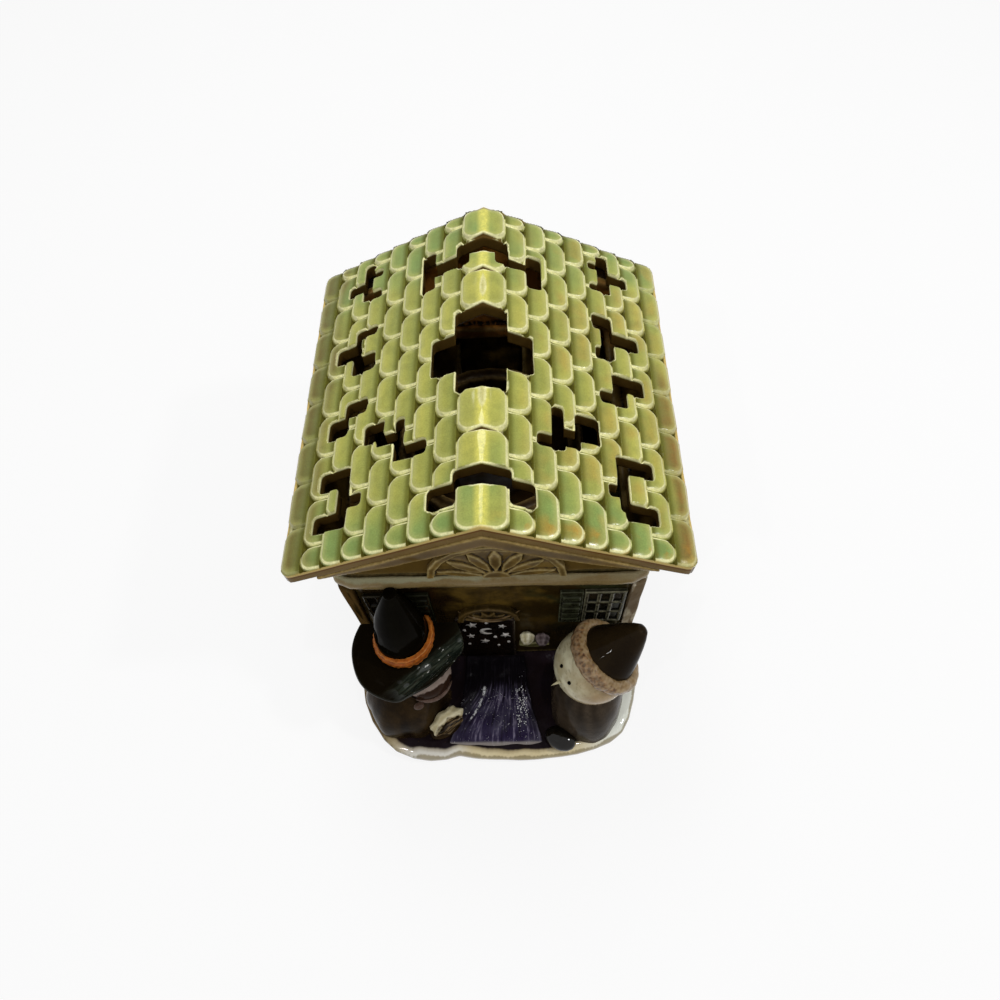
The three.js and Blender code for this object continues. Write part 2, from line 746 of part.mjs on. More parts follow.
function tealightWick() {
  const length = WAX_DEPTH + WICK_LENGTH;
  const geometry = new THREE.CylinderGeometry(WICK_RADIUS * 0.7, WICK_RADIUS, length, 8);
  geometry.rotateX(Math.PI / 2);
  geometry.translate(0, 0, CUP_WALL + GAP + length / 2);
  return solid(geometry);
}

// Roof: a folded slab, courses of shingles on it, and openings where shingles are left out

const ROOF_TAN = Math.tan(ROOF_SLOPE);
const COURSE_PITCH = (ROOF_HALF_WIDTH - RIDGE_CAP_HALF_WIDTH) / COURSES;

function slabTop(x) {
  return EAVE_HEIGHT - TILE_HIGH_END + (ROOF_HALF_WIDTH - Math.abs(x)) * ROOF_TAN;
}

function slabUnderside(x) {
  return slabTop(x) - SLAB_THICKNESS / Math.cos(ROOF_SLOPE);
}

function roofSlab() {
  const w = ROOF_HALF_WIDTH;
  const section = polygon([
    [-w, slabUnderside(w)], [0, slabUnderside(0)], [w, slabUnderside(w)],
    [w, slabTop(w)], [RIDGE_FLAT, slabTop(RIDGE_FLAT)], [-RIDGE_FLAT, slabTop(RIDGE_FLAT)], [-w, slabTop(w)],
  ]);
  return frontProfile(section, -ROOF_FRONT, ROOF_BACK);
}

// The y of the joints along a course: alternate courses are moved by half a tile
function courseJoints(course) {
  const joints = [];
  let y = -ROOF_FRONT + (course % 2 === 0 ? TILE_LENGTH : TILE_LENGTH / 2);
  while (y < ROOF_BACK - TILE_LENGTH / 6) {
    joints.push(y);
    y += TILE_LENGTH;
  }
  return joints;
}

// The groove between two neighbours in a course. It runs out from the ridge side, gets wider where
// the lower corners of the shingles are rounded, and has sloping sides.
function groove(side, y, inner, outer, floorInner, floorOuter) {
  const lean = (floorOuter - floorInner) / (outer - inner);
  const ring = (half, lift) => {
    const plan = [
      [inner, -half], [outer - TILE_CORNER, -half], [outer + 1, -half - TILE_CORNER - 1],
      [outer + 1, half + TILE_CORNER + 1], [outer - TILE_CORNER, half], [inner, half],
    ];
    const points = plan.map(([x, across]) => (
      new THREE.Vector3(side * x, y + across, floorInner + lean * (x - inner) + lift)
    ));
    return side > 0 ? points : points.reverse();
  };
  const lift = TILE_HIGH_END - TILE_FLOOR;
  return loft([ring(TILE_JOINT / 2, 0), ring(TILE_JOINT / 2 + 2 * TILE_EDGE_ROUND, 2 * lift)]);
}

// A course of shingles on one slope. Its lower edge stands over the next course.
function course(side, number) {
  const inner = RIDGE_CAP_HALF_WIDTH + (number - 1) * COURSE_PITCH;
  const outer = inner + COURSE_PITCH;
  const start = inner - TILE_UNDERLAP;
  const top = (x) => {
    const share = (x - inner) / COURSE_PITCH;
    return slabTop(x) + TILE_LOW_END + (TILE_HIGH_END - TILE_LOW_END) * share;
  };
  const edge = TILE_EDGE_ROUND;
  const section = [
    [start, slabTop(start) - 1], [start, top(start)], [outer - 1.3 * edge, top(outer - 1.3 * edge)],
    [outer, top(outer) - 1.2 * edge], [outer, slabTop(outer) - 1],
  ];
  const strip = frontProfile(polygon(section.map(([x, z]) => [side * x, z])), -ROOF_FRONT, ROOF_BACK);
  const grooves = courseJoints(number).map((y) => (
    groove(side, y, start - 1, outer, slabTop(start - 1) + TILE_FLOOR, slabTop(outer) + TILE_FLOOR)
  ));
  return cutBy(strip, grooves);
}

// The row of caps along the ridge, with a rounded crest
function ridgeCaps() {
  const w = RIDGE_CAP_HALF_WIDTH;
  const over = TILE_HIGH_END;
  const edge = TILE_EDGE_ROUND;
  const crest = slabTop(0) + over - RIDGE_CREST_DROP;
  const half = [
    [w, slabTop(w) - 1], [w, slabTop(w) + over - 1.2 * edge],
    [w - 1.3 * edge, slabTop(w - 1.3 * edge) + over], [w * 0.28, crest - 0.9],
  ];
  const mirrored = half.map(([x, z]) => [-x, z]).reverse();
  const strip = frontProfile(polygon([...half, [0, crest], ...mirrored]), -ROOF_FRONT, ROOF_BACK);
  const floor = crest - over * 0.6;
  const grooves = courseJoints(0).flatMap((y) => [-1, 1].map((side) => (
    groove(side, y, -0.5, w, floor, slabTop(w) + TILE_FLOOR)
  )));
  return cutBy(strip, grooves);
}

// The x of a place counted in courses from the ridge line
function acrossRoof(course) {
  const count = Math.abs(course);
  const reach = count < 1
    ? RIDGE_CAP_HALF_WIDTH * count
    : RIDGE_CAP_HALF_WIDTH + (count - 1) * COURSE_PITCH;
  return Math.sign(course) * reach;
}

const alongRoof = (tile) => -ROOF_FRONT + tile * TILE_LENGTH;

function roofOpenings() {
  const cutters = [];
  for (const boxes of Object.values(ROOF_OPENINGS)) {
    for (const [c0, c1, t0, t1] of boxes) {
      const outline = roundedRectangle(
        acrossRoof(c0), acrossRoof(c1), alongRoof(t0), alongRoof(t1), OPENING_CORNER,
      );
      cutters.push(column(outline, 0, REACH * 2, 1));
    }
  }
  return cutters;
}

function roof() {
  const bodies = [roofSlab(), ridgeCaps()];
  for (let number = 1; number <= COURSES; number++) {
    for (const side of [-1, 1]) bodies.push(course(side, number));
  }
  const outline = roundedRectangle(
    -ROOF_HALF_WIDTH, ROOF_HALF_WIDTH, -ROOF_FRONT, ROOF_BACK, ROOF_CORNER_RADIUS,
  );
  const whole = joined(bodies).intersect(column(outline, 0, REACH * 2, 2));
  return cutBy(whole, roofOpenings());
}

// Lid walls with gable ends, cut to the underside of the roof

const LID_BASE = HOUSE_RIM + GAP;

// Everything that lies lower than the roof's underside by a gap
function underRoof() {
  const at = (x) => slabUnderside(x) - GAP;
  const w = ROOF_HALF_WIDTH;
  return frontProfile(polygon([[-w, 0], [w, 0], [w, at(w)], [0, at(0)], [-w, at(w)]]), -REACH, REACH);
}

// The form of the lid's walls, moved in by an inset, with sides that curve out under the eaves
function lidForm(inset, below = 0) {
  const depth = HOUSE_HALF_DEPTH - inset;
  const corner = HOUSE_CORNER_RADIUS - inset / 2;
  const low = HOUSE_HALF_WIDTH - inset;
  const high = low + LID_COVE_DEPTH;
  const rings = [
    rectangleRing(low, depth, corner, LID_BASE),
    rectangleRing(high, depth, corner, LID_BASE + LID_COVE_HEIGHT),
    rectangleRing(high, depth, corner, slabTop(0)),
  ];
  if (below > 0) rings.unshift(rectangleRing(low, depth, corner, LID_BASE - below));
  return loft(rings);
}

// A straight rounded block inside the walls, for the lip that drops into the house
function lipForm(inset, z0, z1) {
  const x = HOUSE_HALF_WIDTH - inset;
  const y = HOUSE_HALF_DEPTH - inset;
  return loft([z0, z1].map((z) => rectangleRing(x, y, HOUSE_CORNER_RADIUS - 2, z)));
}

function lidWalls() {
  const foot = LID_BASE - LIP_DEPTH;
  const root = LID_BASE + LIP_ROOT;
  const inset = WALL_THICKNESS + LIP_FIT;
  const walls = lidForm(0).subtract(lidForm(LID_WALL, 1));
  const shelf = lidForm(LID_WALL / 2).intersect(box(-REACH, REACH, -REACH, REACH, LID_BASE, root));
  const lip = joined([shelf, lipForm(inset, foot, root)]);
  const ring = joined([walls, lip.subtract(lipForm(inset + LIP_WALL, foot - 1, root + 1))]);
  return ring.intersect(underRoof());
}

function fanlight() {
  const face = HOUSE_HALF_DEPTH + GAP;
  const base = LID_BASE + FAN_LIFT;
  const relief = (shape, depth, fine = 5) => frontProfile(shape, -face - depth, -face, fine);
  const half = (radius) => new THREE.Shape().absarc(FAN_X, base, radius, 0, Math.PI);
  const arch = half(FAN_RADIUS);
  arch.absarc(FAN_X, base, FAN_RADIUS - FAN_RIM, Math.PI, 0, true);
  const bodies = [
    relief(half(FAN_RADIUS), FAN_BACKING),
    relief(arch, FAN_RELIEF),
    relief(half(FAN_HUB), FAN_RELIEF),
  ];
  for (let i = 0; i < FAN_PETALS; i++) {
    const angle = (Math.PI * (i + 0.5)) / FAN_PETALS;
    const petal = leaf(FAN_X, base, angle, FAN_HUB - 1, FAN_RADIUS - FAN_RIM - 0.8, FAN_PETAL_WIDTH / 2);
    bodies.push(relief(petal, FAN_RELIEF * 0.85, 3));
  }
  return joined(bodies);
}

// A board that hangs under the end of the roof, with a hollow curve along its lower edge
function bargeboard(y0, y1) {
  const w = BOARD_HALF_WIDTH;
  const bend = w * 0.45;
  const top = (x) => slabUnderside(x) - GAP;
  const shape = new THREE.Shape();
  shape.moveTo(-w, top(w));
  shape.lineTo(-w, top(w) - BOARD_END_DROP);
  shape.quadraticCurveTo(-bend, top(bend) - BOARD_CENTRE_DROP * 1.1, 0, top(0) - BOARD_CENTRE_DROP);
  shape.quadraticCurveTo(bend, top(bend) - BOARD_CENTRE_DROP * 1.1, w, top(w) - BOARD_END_DROP);
  shape.lineTo(w, top(w));
  shape.lineTo(0, top(0));
  return frontProfile(shape, y0, y1, 8);
}

// The walls and what is on their front, seen from a group that stands on the plinth
function frontageFrom(group) {
  const geometry = wallGeometry(HOOD_DEPTH + GAP, 1);
  geometry.translate(-group.position.x, -group.position.y, -group.position.z);
  return solid(geometry);
}

// Left figure: robe, cuff, head, and a hat with its front brim turned up

const WITCH_FACING = new THREE.Vector2(0.64, -0.77).normalize();
const WITCH_HEAD = new THREE.Vector3(
  BRIM_X + WITCH_FACING.x * WITCH_HEAD_REACH,
  BRIM_Y + WITCH_FACING.y * WITCH_HEAD_REACH,
  BRIM_HEIGHT - WITCH_HEAD_RADIUS + WITCH_HEAD_SHOW,
);

function witchRobeForm(grow) {
  const rings = [];
  const steps = 5;
  const hemFolds = 6;
  for (let i = 0; i <= steps; i++) {
    const up = i / steps;
    const narrowing = 1 - 0.62 * up * up;
    const width = WITCH_ROBE_HALF_WIDTH * narrowing + grow;
    const depth = WITCH_ROBE_HALF_DEPTH * narrowing + grow;
    const x = (WITCH_HEAD.x - 3) * up * up;
    const y = (WITCH_HEAD.y + 2) * up * up;
    rings.push(ovalRing(x, y, width, depth, WITCH_ROBE_HEIGHT * up, 24, hemFolds, 0.04 * (1 - up)));
  }
  return loft(rings);
}

function witchHead(grow = 0) {
  return ball(WITCH_HEAD.x, WITCH_HEAD.y, WITCH_HEAD.z, WITCH_HEAD_RADIUS + grow, 14);
}

// The brim as a sheet whose part beyond the fold line is turned up
function brimPoint(radius, angle, lift) {
  const x = radius * Math.cos(angle);
  const y = radius * Math.sin(angle);
  const beyond = x * WITCH_FACING.x + y * WITCH_FACING.y - BRIM_FOLD;
  const share = THREE.MathUtils.clamp(beyond / BRIM_FOLD_WIDTH, 0, 1);
  const bend = BRIM_FOLD_ANGLE * share;
  const over = Math.max(beyond, 0);
  const pull = over * (Math.cos(bend) - 1);
  return new THREE.Vector3(
    BRIM_X + x + WITCH_FACING.x * pull,
    BRIM_Y + y + WITCH_FACING.y * pull,
    BRIM_HEIGHT + over * Math.sin(bend) + lift,
  );
}

function brimForm(grow) {
  const count = 24;
  const ring = (share, lift) => {
    const points = [];
    for (let i = 0; i < count; i++) {
      points.push(brimPoint((BRIM_RADIUS + grow) * share, (i / count) * Math.PI * 2, lift));
    }
    return points;
  };
  const shares = [0.4, 0.7, 1];
  const under = shares.map((share) => ring(share, -grow));
  const over = shares.toReversed().map((share) => ring(share, BRIM_THICKNESS + grow));
  return loft([...under, ...over]);
}

// The crown rises from the brim and leans a little towards the house
const CROWN_SEAT = new THREE.Vector2(BRIM_X - 0.6, BRIM_Y + 2);
const CROWN_LEAN = new THREE.Vector2(-1, 7);

function crownForm(grow, from, to, steps = 6) {
  const rings = [];
  for (let i = 0; i <= steps; i++) {
    const up = from + ((to - from) * i) / steps;
    const radius = CROWN_RADIUS * (1 - CROWN_TAPER * Math.pow(up, CROWN_SWELL)) + grow;
    const z = BRIM_HEIGHT + BRIM_THICKNESS + GAP + CROWN_HEIGHT * up;
    const x = CROWN_SEAT.x + CROWN_LEAN.x * up;
    const y = CROWN_SEAT.y + CROWN_LEAN.y * up;
    rings.push(ovalRing(x, y, radius, radius, z));
  }
  return loft(rings);
}

function hatBand() {
  const from = 0.05;
  const to = from + HAT_BAND_HEIGHT / CROWN_HEIGHT;
  return crownForm(GAP + HAT_BAND_DEPTH, from, to, 2).subtract(crownForm(GAP, 0, 1));
}

// The ruffled cuff lies along the robe's lower edge, next to the path
function witchCuff() {
  const rings = [];
  const steps = 4;
  const ruffles = 7;
  for (let i = 0; i <= steps; i++) {
    const share = i / steps;
    const swell = Math.sin(Math.PI * (0.18 + 0.64 * share));
    const halfLength = (CUFF_LENGTH / 2) * swell;
    const halfWidth = (CUFF_WIDTH / 2) * swell;
    rings.push(ovalRing(0, 0, halfLength, halfWidth, CUFF_HEIGHT * share, 24, ruffles, 0.1));
  }
  const geometry = loftGeometry(rings);
  geometry.rotateZ(CUFF_TURN);
  geometry.translate(WITCH_ROBE_HALF_WIDTH, -WITCH_ROBE_HALF_DEPTH * 0.7, CUFF_RAISE);
  return solid(geometry);
}

// Right figure: round robe, shoe, head with a nose, ruff and pointed hat

const GHOST_HEAD = new THREE.Vector3(0.3, 5, GHOST_HEAD_HEIGHT);
const HAT_AXIS = new THREE.Vector3(14, 5.5, 17.5).normalize();
const GHOST_FACING = new THREE.Vector3(-0.85, -0.45, 0.2).normalize();

function ghostRobeForm(grow) {
  const rings = [];
  const steps = 5;
  const hemFolds = 5;
  for (let i = 0; i <= steps; i++) {
    const up = i / steps;
    const swell = Math.sqrt(1 - Math.pow(up * 0.86, 2.6));
    const width = GHOST_ROBE_HALF_WIDTH * swell + grow;
    const depth = GHOST_ROBE_HALF_DEPTH * swell + grow;
    rings.push(ovalRing(0, 3 * up, width, depth, GHOST_ROBE_HEIGHT * up, 20, hemFolds, 0.02));
  }
  return loft(rings);
}

function ghostHead(grow = 0) {
  return ball(GHOST_HEAD.x, GHOST_HEAD.y, GHOST_HEAD.z, GHOST_HEAD_RADIUS + grow);
}

function ruffForm(grow) {
  const geometry = new THREE.TorusGeometry(RUFF_RADIUS, RUFF_TUBE + grow, 6, ROUND);
  const seat = GHOST_HEAD.clone().addScaledVector(HAT_AXIS, RUFF_SEAT);
  return aimed(geometry, seat, HAT_AXIS);
}

function pointedHat() {
  const r = POINTED_HAT_RADIUS;
  const h = POINTED_HAT_LENGTH;
  const points = [
    [0, -3], [r, -3], [r, 0], [r * 0.76, h * 0.34], [r * 0.48, h * 0.68], [r * 0.2, h * 0.94], [0, h],
  ];
  const geometry = new THREE.LatheGeometry(points.map(([x, y]) => new THREE.Vector2(x, y)), ROUND);
  geometry.rotateX(Math.PI / 2);
  const seat = GHOST_HEAD.clone().addScaledVector(HAT_AXIS, RUFF_SEAT);
  return cutBy(aimed(geometry, seat, HAT_AXIS), [ghostHead(GAP), ruffForm(GAP)]);
}

function ghostNose() {
  const geometry = new THREE.CylinderGeometry(NOSE_RADIUS / 4, NOSE_RADIUS, NOSE_LENGTH, 10);
  geometry.rotateX(Math.PI / 2);
  const reach = GHOST_HEAD_RADIUS + NOSE_LENGTH / 2 - NOSE_SINK;
  const seat = GHOST_HEAD.clone().addScaledVector(GHOST_FACING, reach);
  return aimed(geometry, seat, GHOST_FACING).subtract(ghostHead(GAP));
}

function ghostShoe() {
  const geometry = new THREE.SphereGeometry(1, 14, 8);
  geometry.scale(SHOE_LENGTH / 2, SHOE_WIDTH / 2, SHOE_HEIGHT / 2);
  geometry.rotateZ(SHOE_TURN);
  geometry.translate(SHOE_X, SHOE_Y, SHOE_HEIGHT / 2 - SHOE_SINK);
  const ground = box(-REACH, REACH, -REACH, REACH, -REACH, 0);
  return cutBy(solid(geometry), [ghostRobeForm(GAP), ground]);
}

// Finishes

const FINISH = {
  ivory: material("#d9d0b4", 0.25),
  brown: material("#3a2a18", 0.2),
  oliveDark: material("#3c3a1c", 0.22),
  green: material("#8a9440", 0.2),
  amber: material("#7a4a1c", 0.25),
  doorBrown: material("#2c1c12", 0.25),
  greyGreen: material("#5b6350", 0.3),
  violet: material("#3d3658", 0.2),
  black: material("#14120f", 0.12),
  orange: material("#c8691d", 0.3),
  cream: material("#e6dfc4", 0.3),
  lilac: material("#a9969a", 0.35),
  tan: material("#a9825f", 0.45),
  umber: material("#40342a", 0.25),
  mauve: material("#8f7f8a", 0.4),
  aluminium: material("#c9ccd0", 0.35, 1),
  wax: material("#f2ecdd", 0.5),
  wick: material("#e8e2d0", 0.8),
};

// Assembly

const warmer = new THREE.Group();
const base = new THREE.Group();
const lid = new THREE.Group();
const dish = new THREE.Group();
const tealight = new THREE.Group();
warmer.add(base, lid, dish, tealight);

piece("plinth", plinth(), FINISH.ivory, base);
piece("garden_path", gardenPath(), FINISH.violet, base);
piece("house_walls", houseWalls(), FINISH.brown, base);
piece("rim_band", rimBand(), FINISH.ivory, base);
piece("corner_board_front_left", cornerBoard(-1, -1), FINISH.ivory, base);
piece("corner_board_front_right", cornerBoard(1, -1), FINISH.ivory, base);
piece("corner_board_back_left", cornerBoard(-1, 1), FINISH.ivory, base);
piece("corner_board_back_right", cornerBoard(1, 1), FINISH.ivory, base);
piece("front_door", frontDoor(), FINISH.doorBrown, base);
piece("door_hood", doorHood(), FINISH.oliveDark, base);
piece("window_left", latticeWindow(WINDOW_LEFT_X), FINISH.black, base);
piece("window_right", latticeWindow(WINDOW_RIGHT_X), FINISH.black, base);

const shutterOffset = WINDOW_WIDTH / 2 + SHUTTER_WIDTH / 2 + 2 * GAP;
piece("shutter_left", shutter(WINDOW_LEFT_X + shutterOffset), FINISH.greyGreen, base);
piece("shutter_right", shutter(WINDOW_RIGHT_X - shutterOffset), FINISH.greyGreen, base);

piece("bloom_white", bloom(CLUSTER_X, BLOOM_HEIGHT), FINISH.cream, base);
piece("bloom_mauve", bloom(CLUSTER_X + BLOOM_SPACING, BLOOM_HEIGHT - BLOOM_DROP), FINISH.mauve, base);
piece("bloom_leaf", bloomLeaf(), FINISH.oliveDark, base);

const witch = new THREE.Group();
witch.position.set(WITCH_X, WITCH_Y, FOOT);
base.add(witch);
const behindWitch = frontageFrom(witch);
const crownClear = crownForm(2 * GAP + HAT_BAND_DEPTH, 0, 0.3);
piece("witch_robe", cutBy(witchRobeForm(0), [witchHead(GAP), behindWitch]), FINISH.umber, witch);
piece("witch_head", cutBy(witchHead(), [brimForm(GAP), behindWitch]), FINISH.lilac, witch);
piece("witch_hat_brim", cutBy(brimForm(0), [behindWitch, crownClear]), FINISH.black, witch);
piece("witch_hat_crown", cutBy(crownForm(0, 0, 1), [behindWitch]), FINISH.black, witch);
piece("witch_hat_band", cutBy(hatBand(), [behindWitch]), FINISH.orange, witch);
piece("witch_cuff", cutBy(witchCuff(), [witchRobeForm(GAP)]), FINISH.cream, witch);

const ghost = new THREE.Group();
ghost.position.set(GHOST_X, GHOST_Y, FOOT);
base.add(ghost);
piece("ghost_robe", cutBy(ghostRobeForm(0), [ghostHead(GAP), frontageFrom(ghost)]), FINISH.umber, ghost);
piece("ghost_head", ghostHead(), FINISH.cream, ghost);
piece("ghost_nose", ghostNose(), FINISH.cream, ghost);
piece("ghost_shoe", ghostShoe(), FINISH.black, ghost);
piece("ghost_ruff", cutBy(ruffForm(0), [ghostHead(GAP)]), FINISH.tan, ghost);
piece("ghost_hat", pointedHat(), FINISH.black, ghost);

piece("roof", roof(), FINISH.green, lid);
piece("lid_walls", lidWalls(), FINISH.amber, lid);
piece("fanlight", fanlight(), FINISH.oliveDark, lid);
piece("bargeboard_front", bargeboard(-ROOF_FRONT, -ROOF_FRONT + BOARD_THICKNESS), FINISH.brown, lid);
piece("bargeboard_back", bargeboard(ROOF_BACK - BOARD_THICKNESS, ROOF_BACK), FINISH.brown, lid);

dish.position.z = SHELF_TOP + GAP;
tealight.position.z = FLOOR_TOP + GAP;
piece("wax_dish", waxDish(), FINISH.brown, dish);
piece("tealight_cup", tealightCup(), FINISH.aluminium, tealight);
piece("tealight_wax", tealightWax(), FINISH.wax, tealight);
piece("tealight_wick", tealightWick(), FINISH.wick, tealight);

export default warmer;
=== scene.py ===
"""Looks of the glazed pottery house wax warmer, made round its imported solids.

Lengths are in millimetres in the frame's axes, and each mesh is scaled to metres when it is made.
"""

import math

import bmesh
import bpy
import numpy as np
from mathutils import Matrix, Vector


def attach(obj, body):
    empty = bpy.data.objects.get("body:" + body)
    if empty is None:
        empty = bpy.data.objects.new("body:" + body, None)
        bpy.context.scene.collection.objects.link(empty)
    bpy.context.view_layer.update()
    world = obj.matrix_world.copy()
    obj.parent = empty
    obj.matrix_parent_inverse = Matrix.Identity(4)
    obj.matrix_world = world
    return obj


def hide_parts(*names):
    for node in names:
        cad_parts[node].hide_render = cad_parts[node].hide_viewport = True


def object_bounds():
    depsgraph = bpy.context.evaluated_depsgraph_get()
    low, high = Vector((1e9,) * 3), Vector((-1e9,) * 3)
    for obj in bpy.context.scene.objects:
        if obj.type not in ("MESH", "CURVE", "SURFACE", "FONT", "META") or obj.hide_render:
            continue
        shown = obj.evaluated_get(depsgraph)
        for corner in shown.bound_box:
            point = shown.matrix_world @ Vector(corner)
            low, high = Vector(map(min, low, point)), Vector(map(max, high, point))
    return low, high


MM = 0.001

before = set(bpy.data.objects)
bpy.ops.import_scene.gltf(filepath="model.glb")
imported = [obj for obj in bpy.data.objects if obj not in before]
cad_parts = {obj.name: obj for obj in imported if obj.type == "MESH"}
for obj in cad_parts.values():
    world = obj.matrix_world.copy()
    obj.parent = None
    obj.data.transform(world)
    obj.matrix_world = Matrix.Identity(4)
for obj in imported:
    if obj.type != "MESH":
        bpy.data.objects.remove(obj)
cad_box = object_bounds()
scene = bpy.context.scene

# Colours, written as 0 to 255 screen values


def paint(red, green, blue):
    """A screen colour as the linear colour that a shader wants"""
    def linear(value):
        share = value / 255
        return share / 12.92 if share <= 0.04045 else ((share + 0.055) / 1.055) ** 2.4

    return (linear(red), linear(green), linear(blue), 1.0)


# Camera, at the photograph's viewing angle

CAMERA_YAW = math.radians(3.57)
CAMERA_PITCH = math.radians(60.7)
CAMERA_ROLL = math.radians(-4.49)
CAMERA_PLACE = Vector((12.1, -164.1, 328.8))
CAMERA_LENS = 25.2


def make_camera():
    """A camera that looks steeply down at the front, as the photograph does"""
    data = bpy.data.cameras.new("camera")
    data.lens = CAMERA_LENS
    data.clip_start = 0.01
    camera = bpy.data.objects.new("camera", data)
    scene.collection.objects.link(camera)
    back = Vector((
        math.sin(CAMERA_YAW) * math.cos(CAMERA_PITCH),
        -math.cos(CAMERA_YAW) * math.cos(CAMERA_PITCH),
        math.sin(CAMERA_PITCH),
    ))
    level = Vector((math.cos(CAMERA_YAW), math.sin(CAMERA_YAW), 0))
    upright = back.cross(level)
    right = level * math.cos(CAMERA_ROLL) + upright * math.sin(CAMERA_ROLL)
    up = upright * math.cos(CAMERA_ROLL) - level * math.sin(CAMERA_ROLL)
    turn = Matrix((right, up, back)).transposed().to_4x4()
    camera.matrix_world = Matrix.Translation(CAMERA_PLACE * MM) @ turn
    scene.camera = camera


make_camera()

# Sizes and places of the forms

ROOF_HALF_WIDTH = 71.0
ROOF_FRONT = 70.5
ROOF_BACK = 71.0
ROOF_SLOPE = math.radians(26.3)
EAVE_HEIGHT = 112.0
TILE_HIGH_END = 2.0
RIDGE_CAP_HALF_WIDTH = 8.5
COURSES = 8
COURSE_PITCH = (ROOF_HALF_WIDTH - RIDGE_CAP_HALF_WIDTH) / COURSES
TILES_ALONG = 7.86
TILE_LENGTH = (ROOF_FRONT + ROOF_BACK) / TILES_ALONG
TILE_CORNER = 4.6
HOUSE_HALF_DEPTH = 62.0
HOUSE_RIM = 92.0
FOOT = 8.3
FOOT_FLARE = 4.0
WITCH = np.array((-41.0, -86.0, FOOT))
WITCH_HEAD = WITCH + (11.71, 1.42, 31.7)
WITCH_HEAD_RADIUS = 10.5
FACE_LEAN = (-0.433, 0.697, 0.573)
GHOST = np.array((38.5, -90.0, FOOT))
WITCH_FACING = np.array((0.64, -0.77)) / math.hypot(0.64, 0.77)
BRIM_CENTRE = WITCH + (5.0, 9.5, 41.7)
CUFF = WITCH + (18.5, -13.3, 13.0)
CUFF_TURN = 0.64
CUFF_BOW = 0.035
GHOST_HEAD = GHOST + (0.3, 5.0, 41.7)
GHOST_HEAD_RADIUS = 15.3
HAT_AXIS = np.array((14.0, 5.5, 17.5)) / math.hypot(14.0, 5.5, 17.5)
HAT_SEAT = GHOST_HEAD + HAT_AXIS * 8.5
PATH_MIDDLE = 5.0
GLINT_BAND = 10.2
INLAND_REACH = 12.0

# Node building


def fill(tree, socket, value):
    """Links a socket to an input, or writes a plain value on it"""
    if isinstance(value, bpy.types.NodeSocket):
        tree.links.new(value, socket)
    else:
        socket.default_value = value


def add(tree, kind, sockets=None, **settings):
    """A new shader node with its settings, and with its sockets linked or filled"""
    made = tree.nodes.new("ShaderNode" + kind)
    for name, value in settings.items():
        setattr(made, name, value)
    for name, value in (sockets or {}).items():
        fill(tree, made.inputs[name], value)
    return made


def maths(tree, operation, first, second=0.0, clamp=False):
    """One step of arithmetic"""
    made = add(tree, "Math", operation=operation, use_clamp=clamp)
    fill(tree, made.inputs[0], first)
    fill(tree, made.inputs[1], second)
    return made.outputs[0]


def times(tree, value, *factors):
    """The product of some values"""
    for factor in factors:
        value = maths(tree, "MULTIPLY", value, factor)
    return value


def plus(tree, value, *terms):
    """The sum of some values"""
    for term in terms:
        value = maths(tree, "ADD", value, term)
    return value


def largest(tree, value, *others):
    """The largest of some values"""
    for other in others:
        value = maths(tree, "MAXIMUM", value, other)
    return value


def minus(tree, first, second):
    """What is left of the first value"""
    return maths(tree, "SUBTRACT", first, second)


def mixed(tree, share, first, second, way="MIX"):
    """The colour between two colours"""
    made = add(tree, "Mix", data_type="RGBA", blend_type=way)
    fill(tree, made.inputs[0], share)
    fill(tree, made.inputs[6], first)
    fill(tree, made.inputs[7], second)
    return made.outputs[2]


def ease(tree, value, low, high, to_low=0.0, to_high=1.0):
    """A smooth step of a value from low to high"""
    sockets = {"Value": value, "From Min": low, "From Max": high, "To Min": to_low, "To Max": to_high}
    return add(tree, "MapRange", sockets, interpolation_type="SMOOTHSTEP").outputs[0]


def place_mm(tree, stretch=(1, 1, 1)):
    """The place on the object in millimetres, with each axis stretched by a factor"""
    place = add(tree, "TexCoord").outputs["Object"]
    scale = tuple(1 / MM * factor for factor in stretch)
    return add(tree, "Mapping", {"Vector": place, "Scale": scale}).outputs[0]


def axes(tree, place):
    """The X, Y and Z of a place"""
    return add(tree, "SeparateXYZ", {0: place}).outputs


def pair(tree, first, second):
    """A place in a plane from two values"""
    return add(tree, "CombineXYZ", {0: first, 1: second}).outputs[0]


def how_far(tree, place, centre, way):
    """How far a place lies from a centre along a direction"""
    arm = add(tree, "VectorMath", {0: place, 1: tuple(centre)}, operation="SUBTRACT").outputs[0]
    return add(tree, "VectorMath", {0: arm, 1: tuple(way)}, operation="DOT_PRODUCT").outputs["Value"]


def in_sizes(tree, place, size):
    """A place counted in steps of a size that a socket gives"""
    sockets = {0: place, "Scale": maths(tree, "DIVIDE", 1.0, size)}
    return add(tree, "VectorMath", sockets, operation="SCALE").outputs[0]


def grain(tree, place, size, detail=3.0, roughness=0.55):
    """Soft noise from 0 to 1 with blotches of about that size in millimetres"""
    sockets = {"Vector": place, "Scale": 1 / size, "Detail": detail, "Roughness": roughness}
    return add(tree, "TexNoise", sockets).outputs[0]


def drift(tree, noise, low, high):
    """A slow noise stretched to run from low to high"""
    return ease(tree, noise, 0.2, 0.8, low, high)


def mark(tree, name):
    """A value that the mesh carries at each vertex"""
    return add(tree, "Attribute", attribute_name=name).outputs["Fac"]


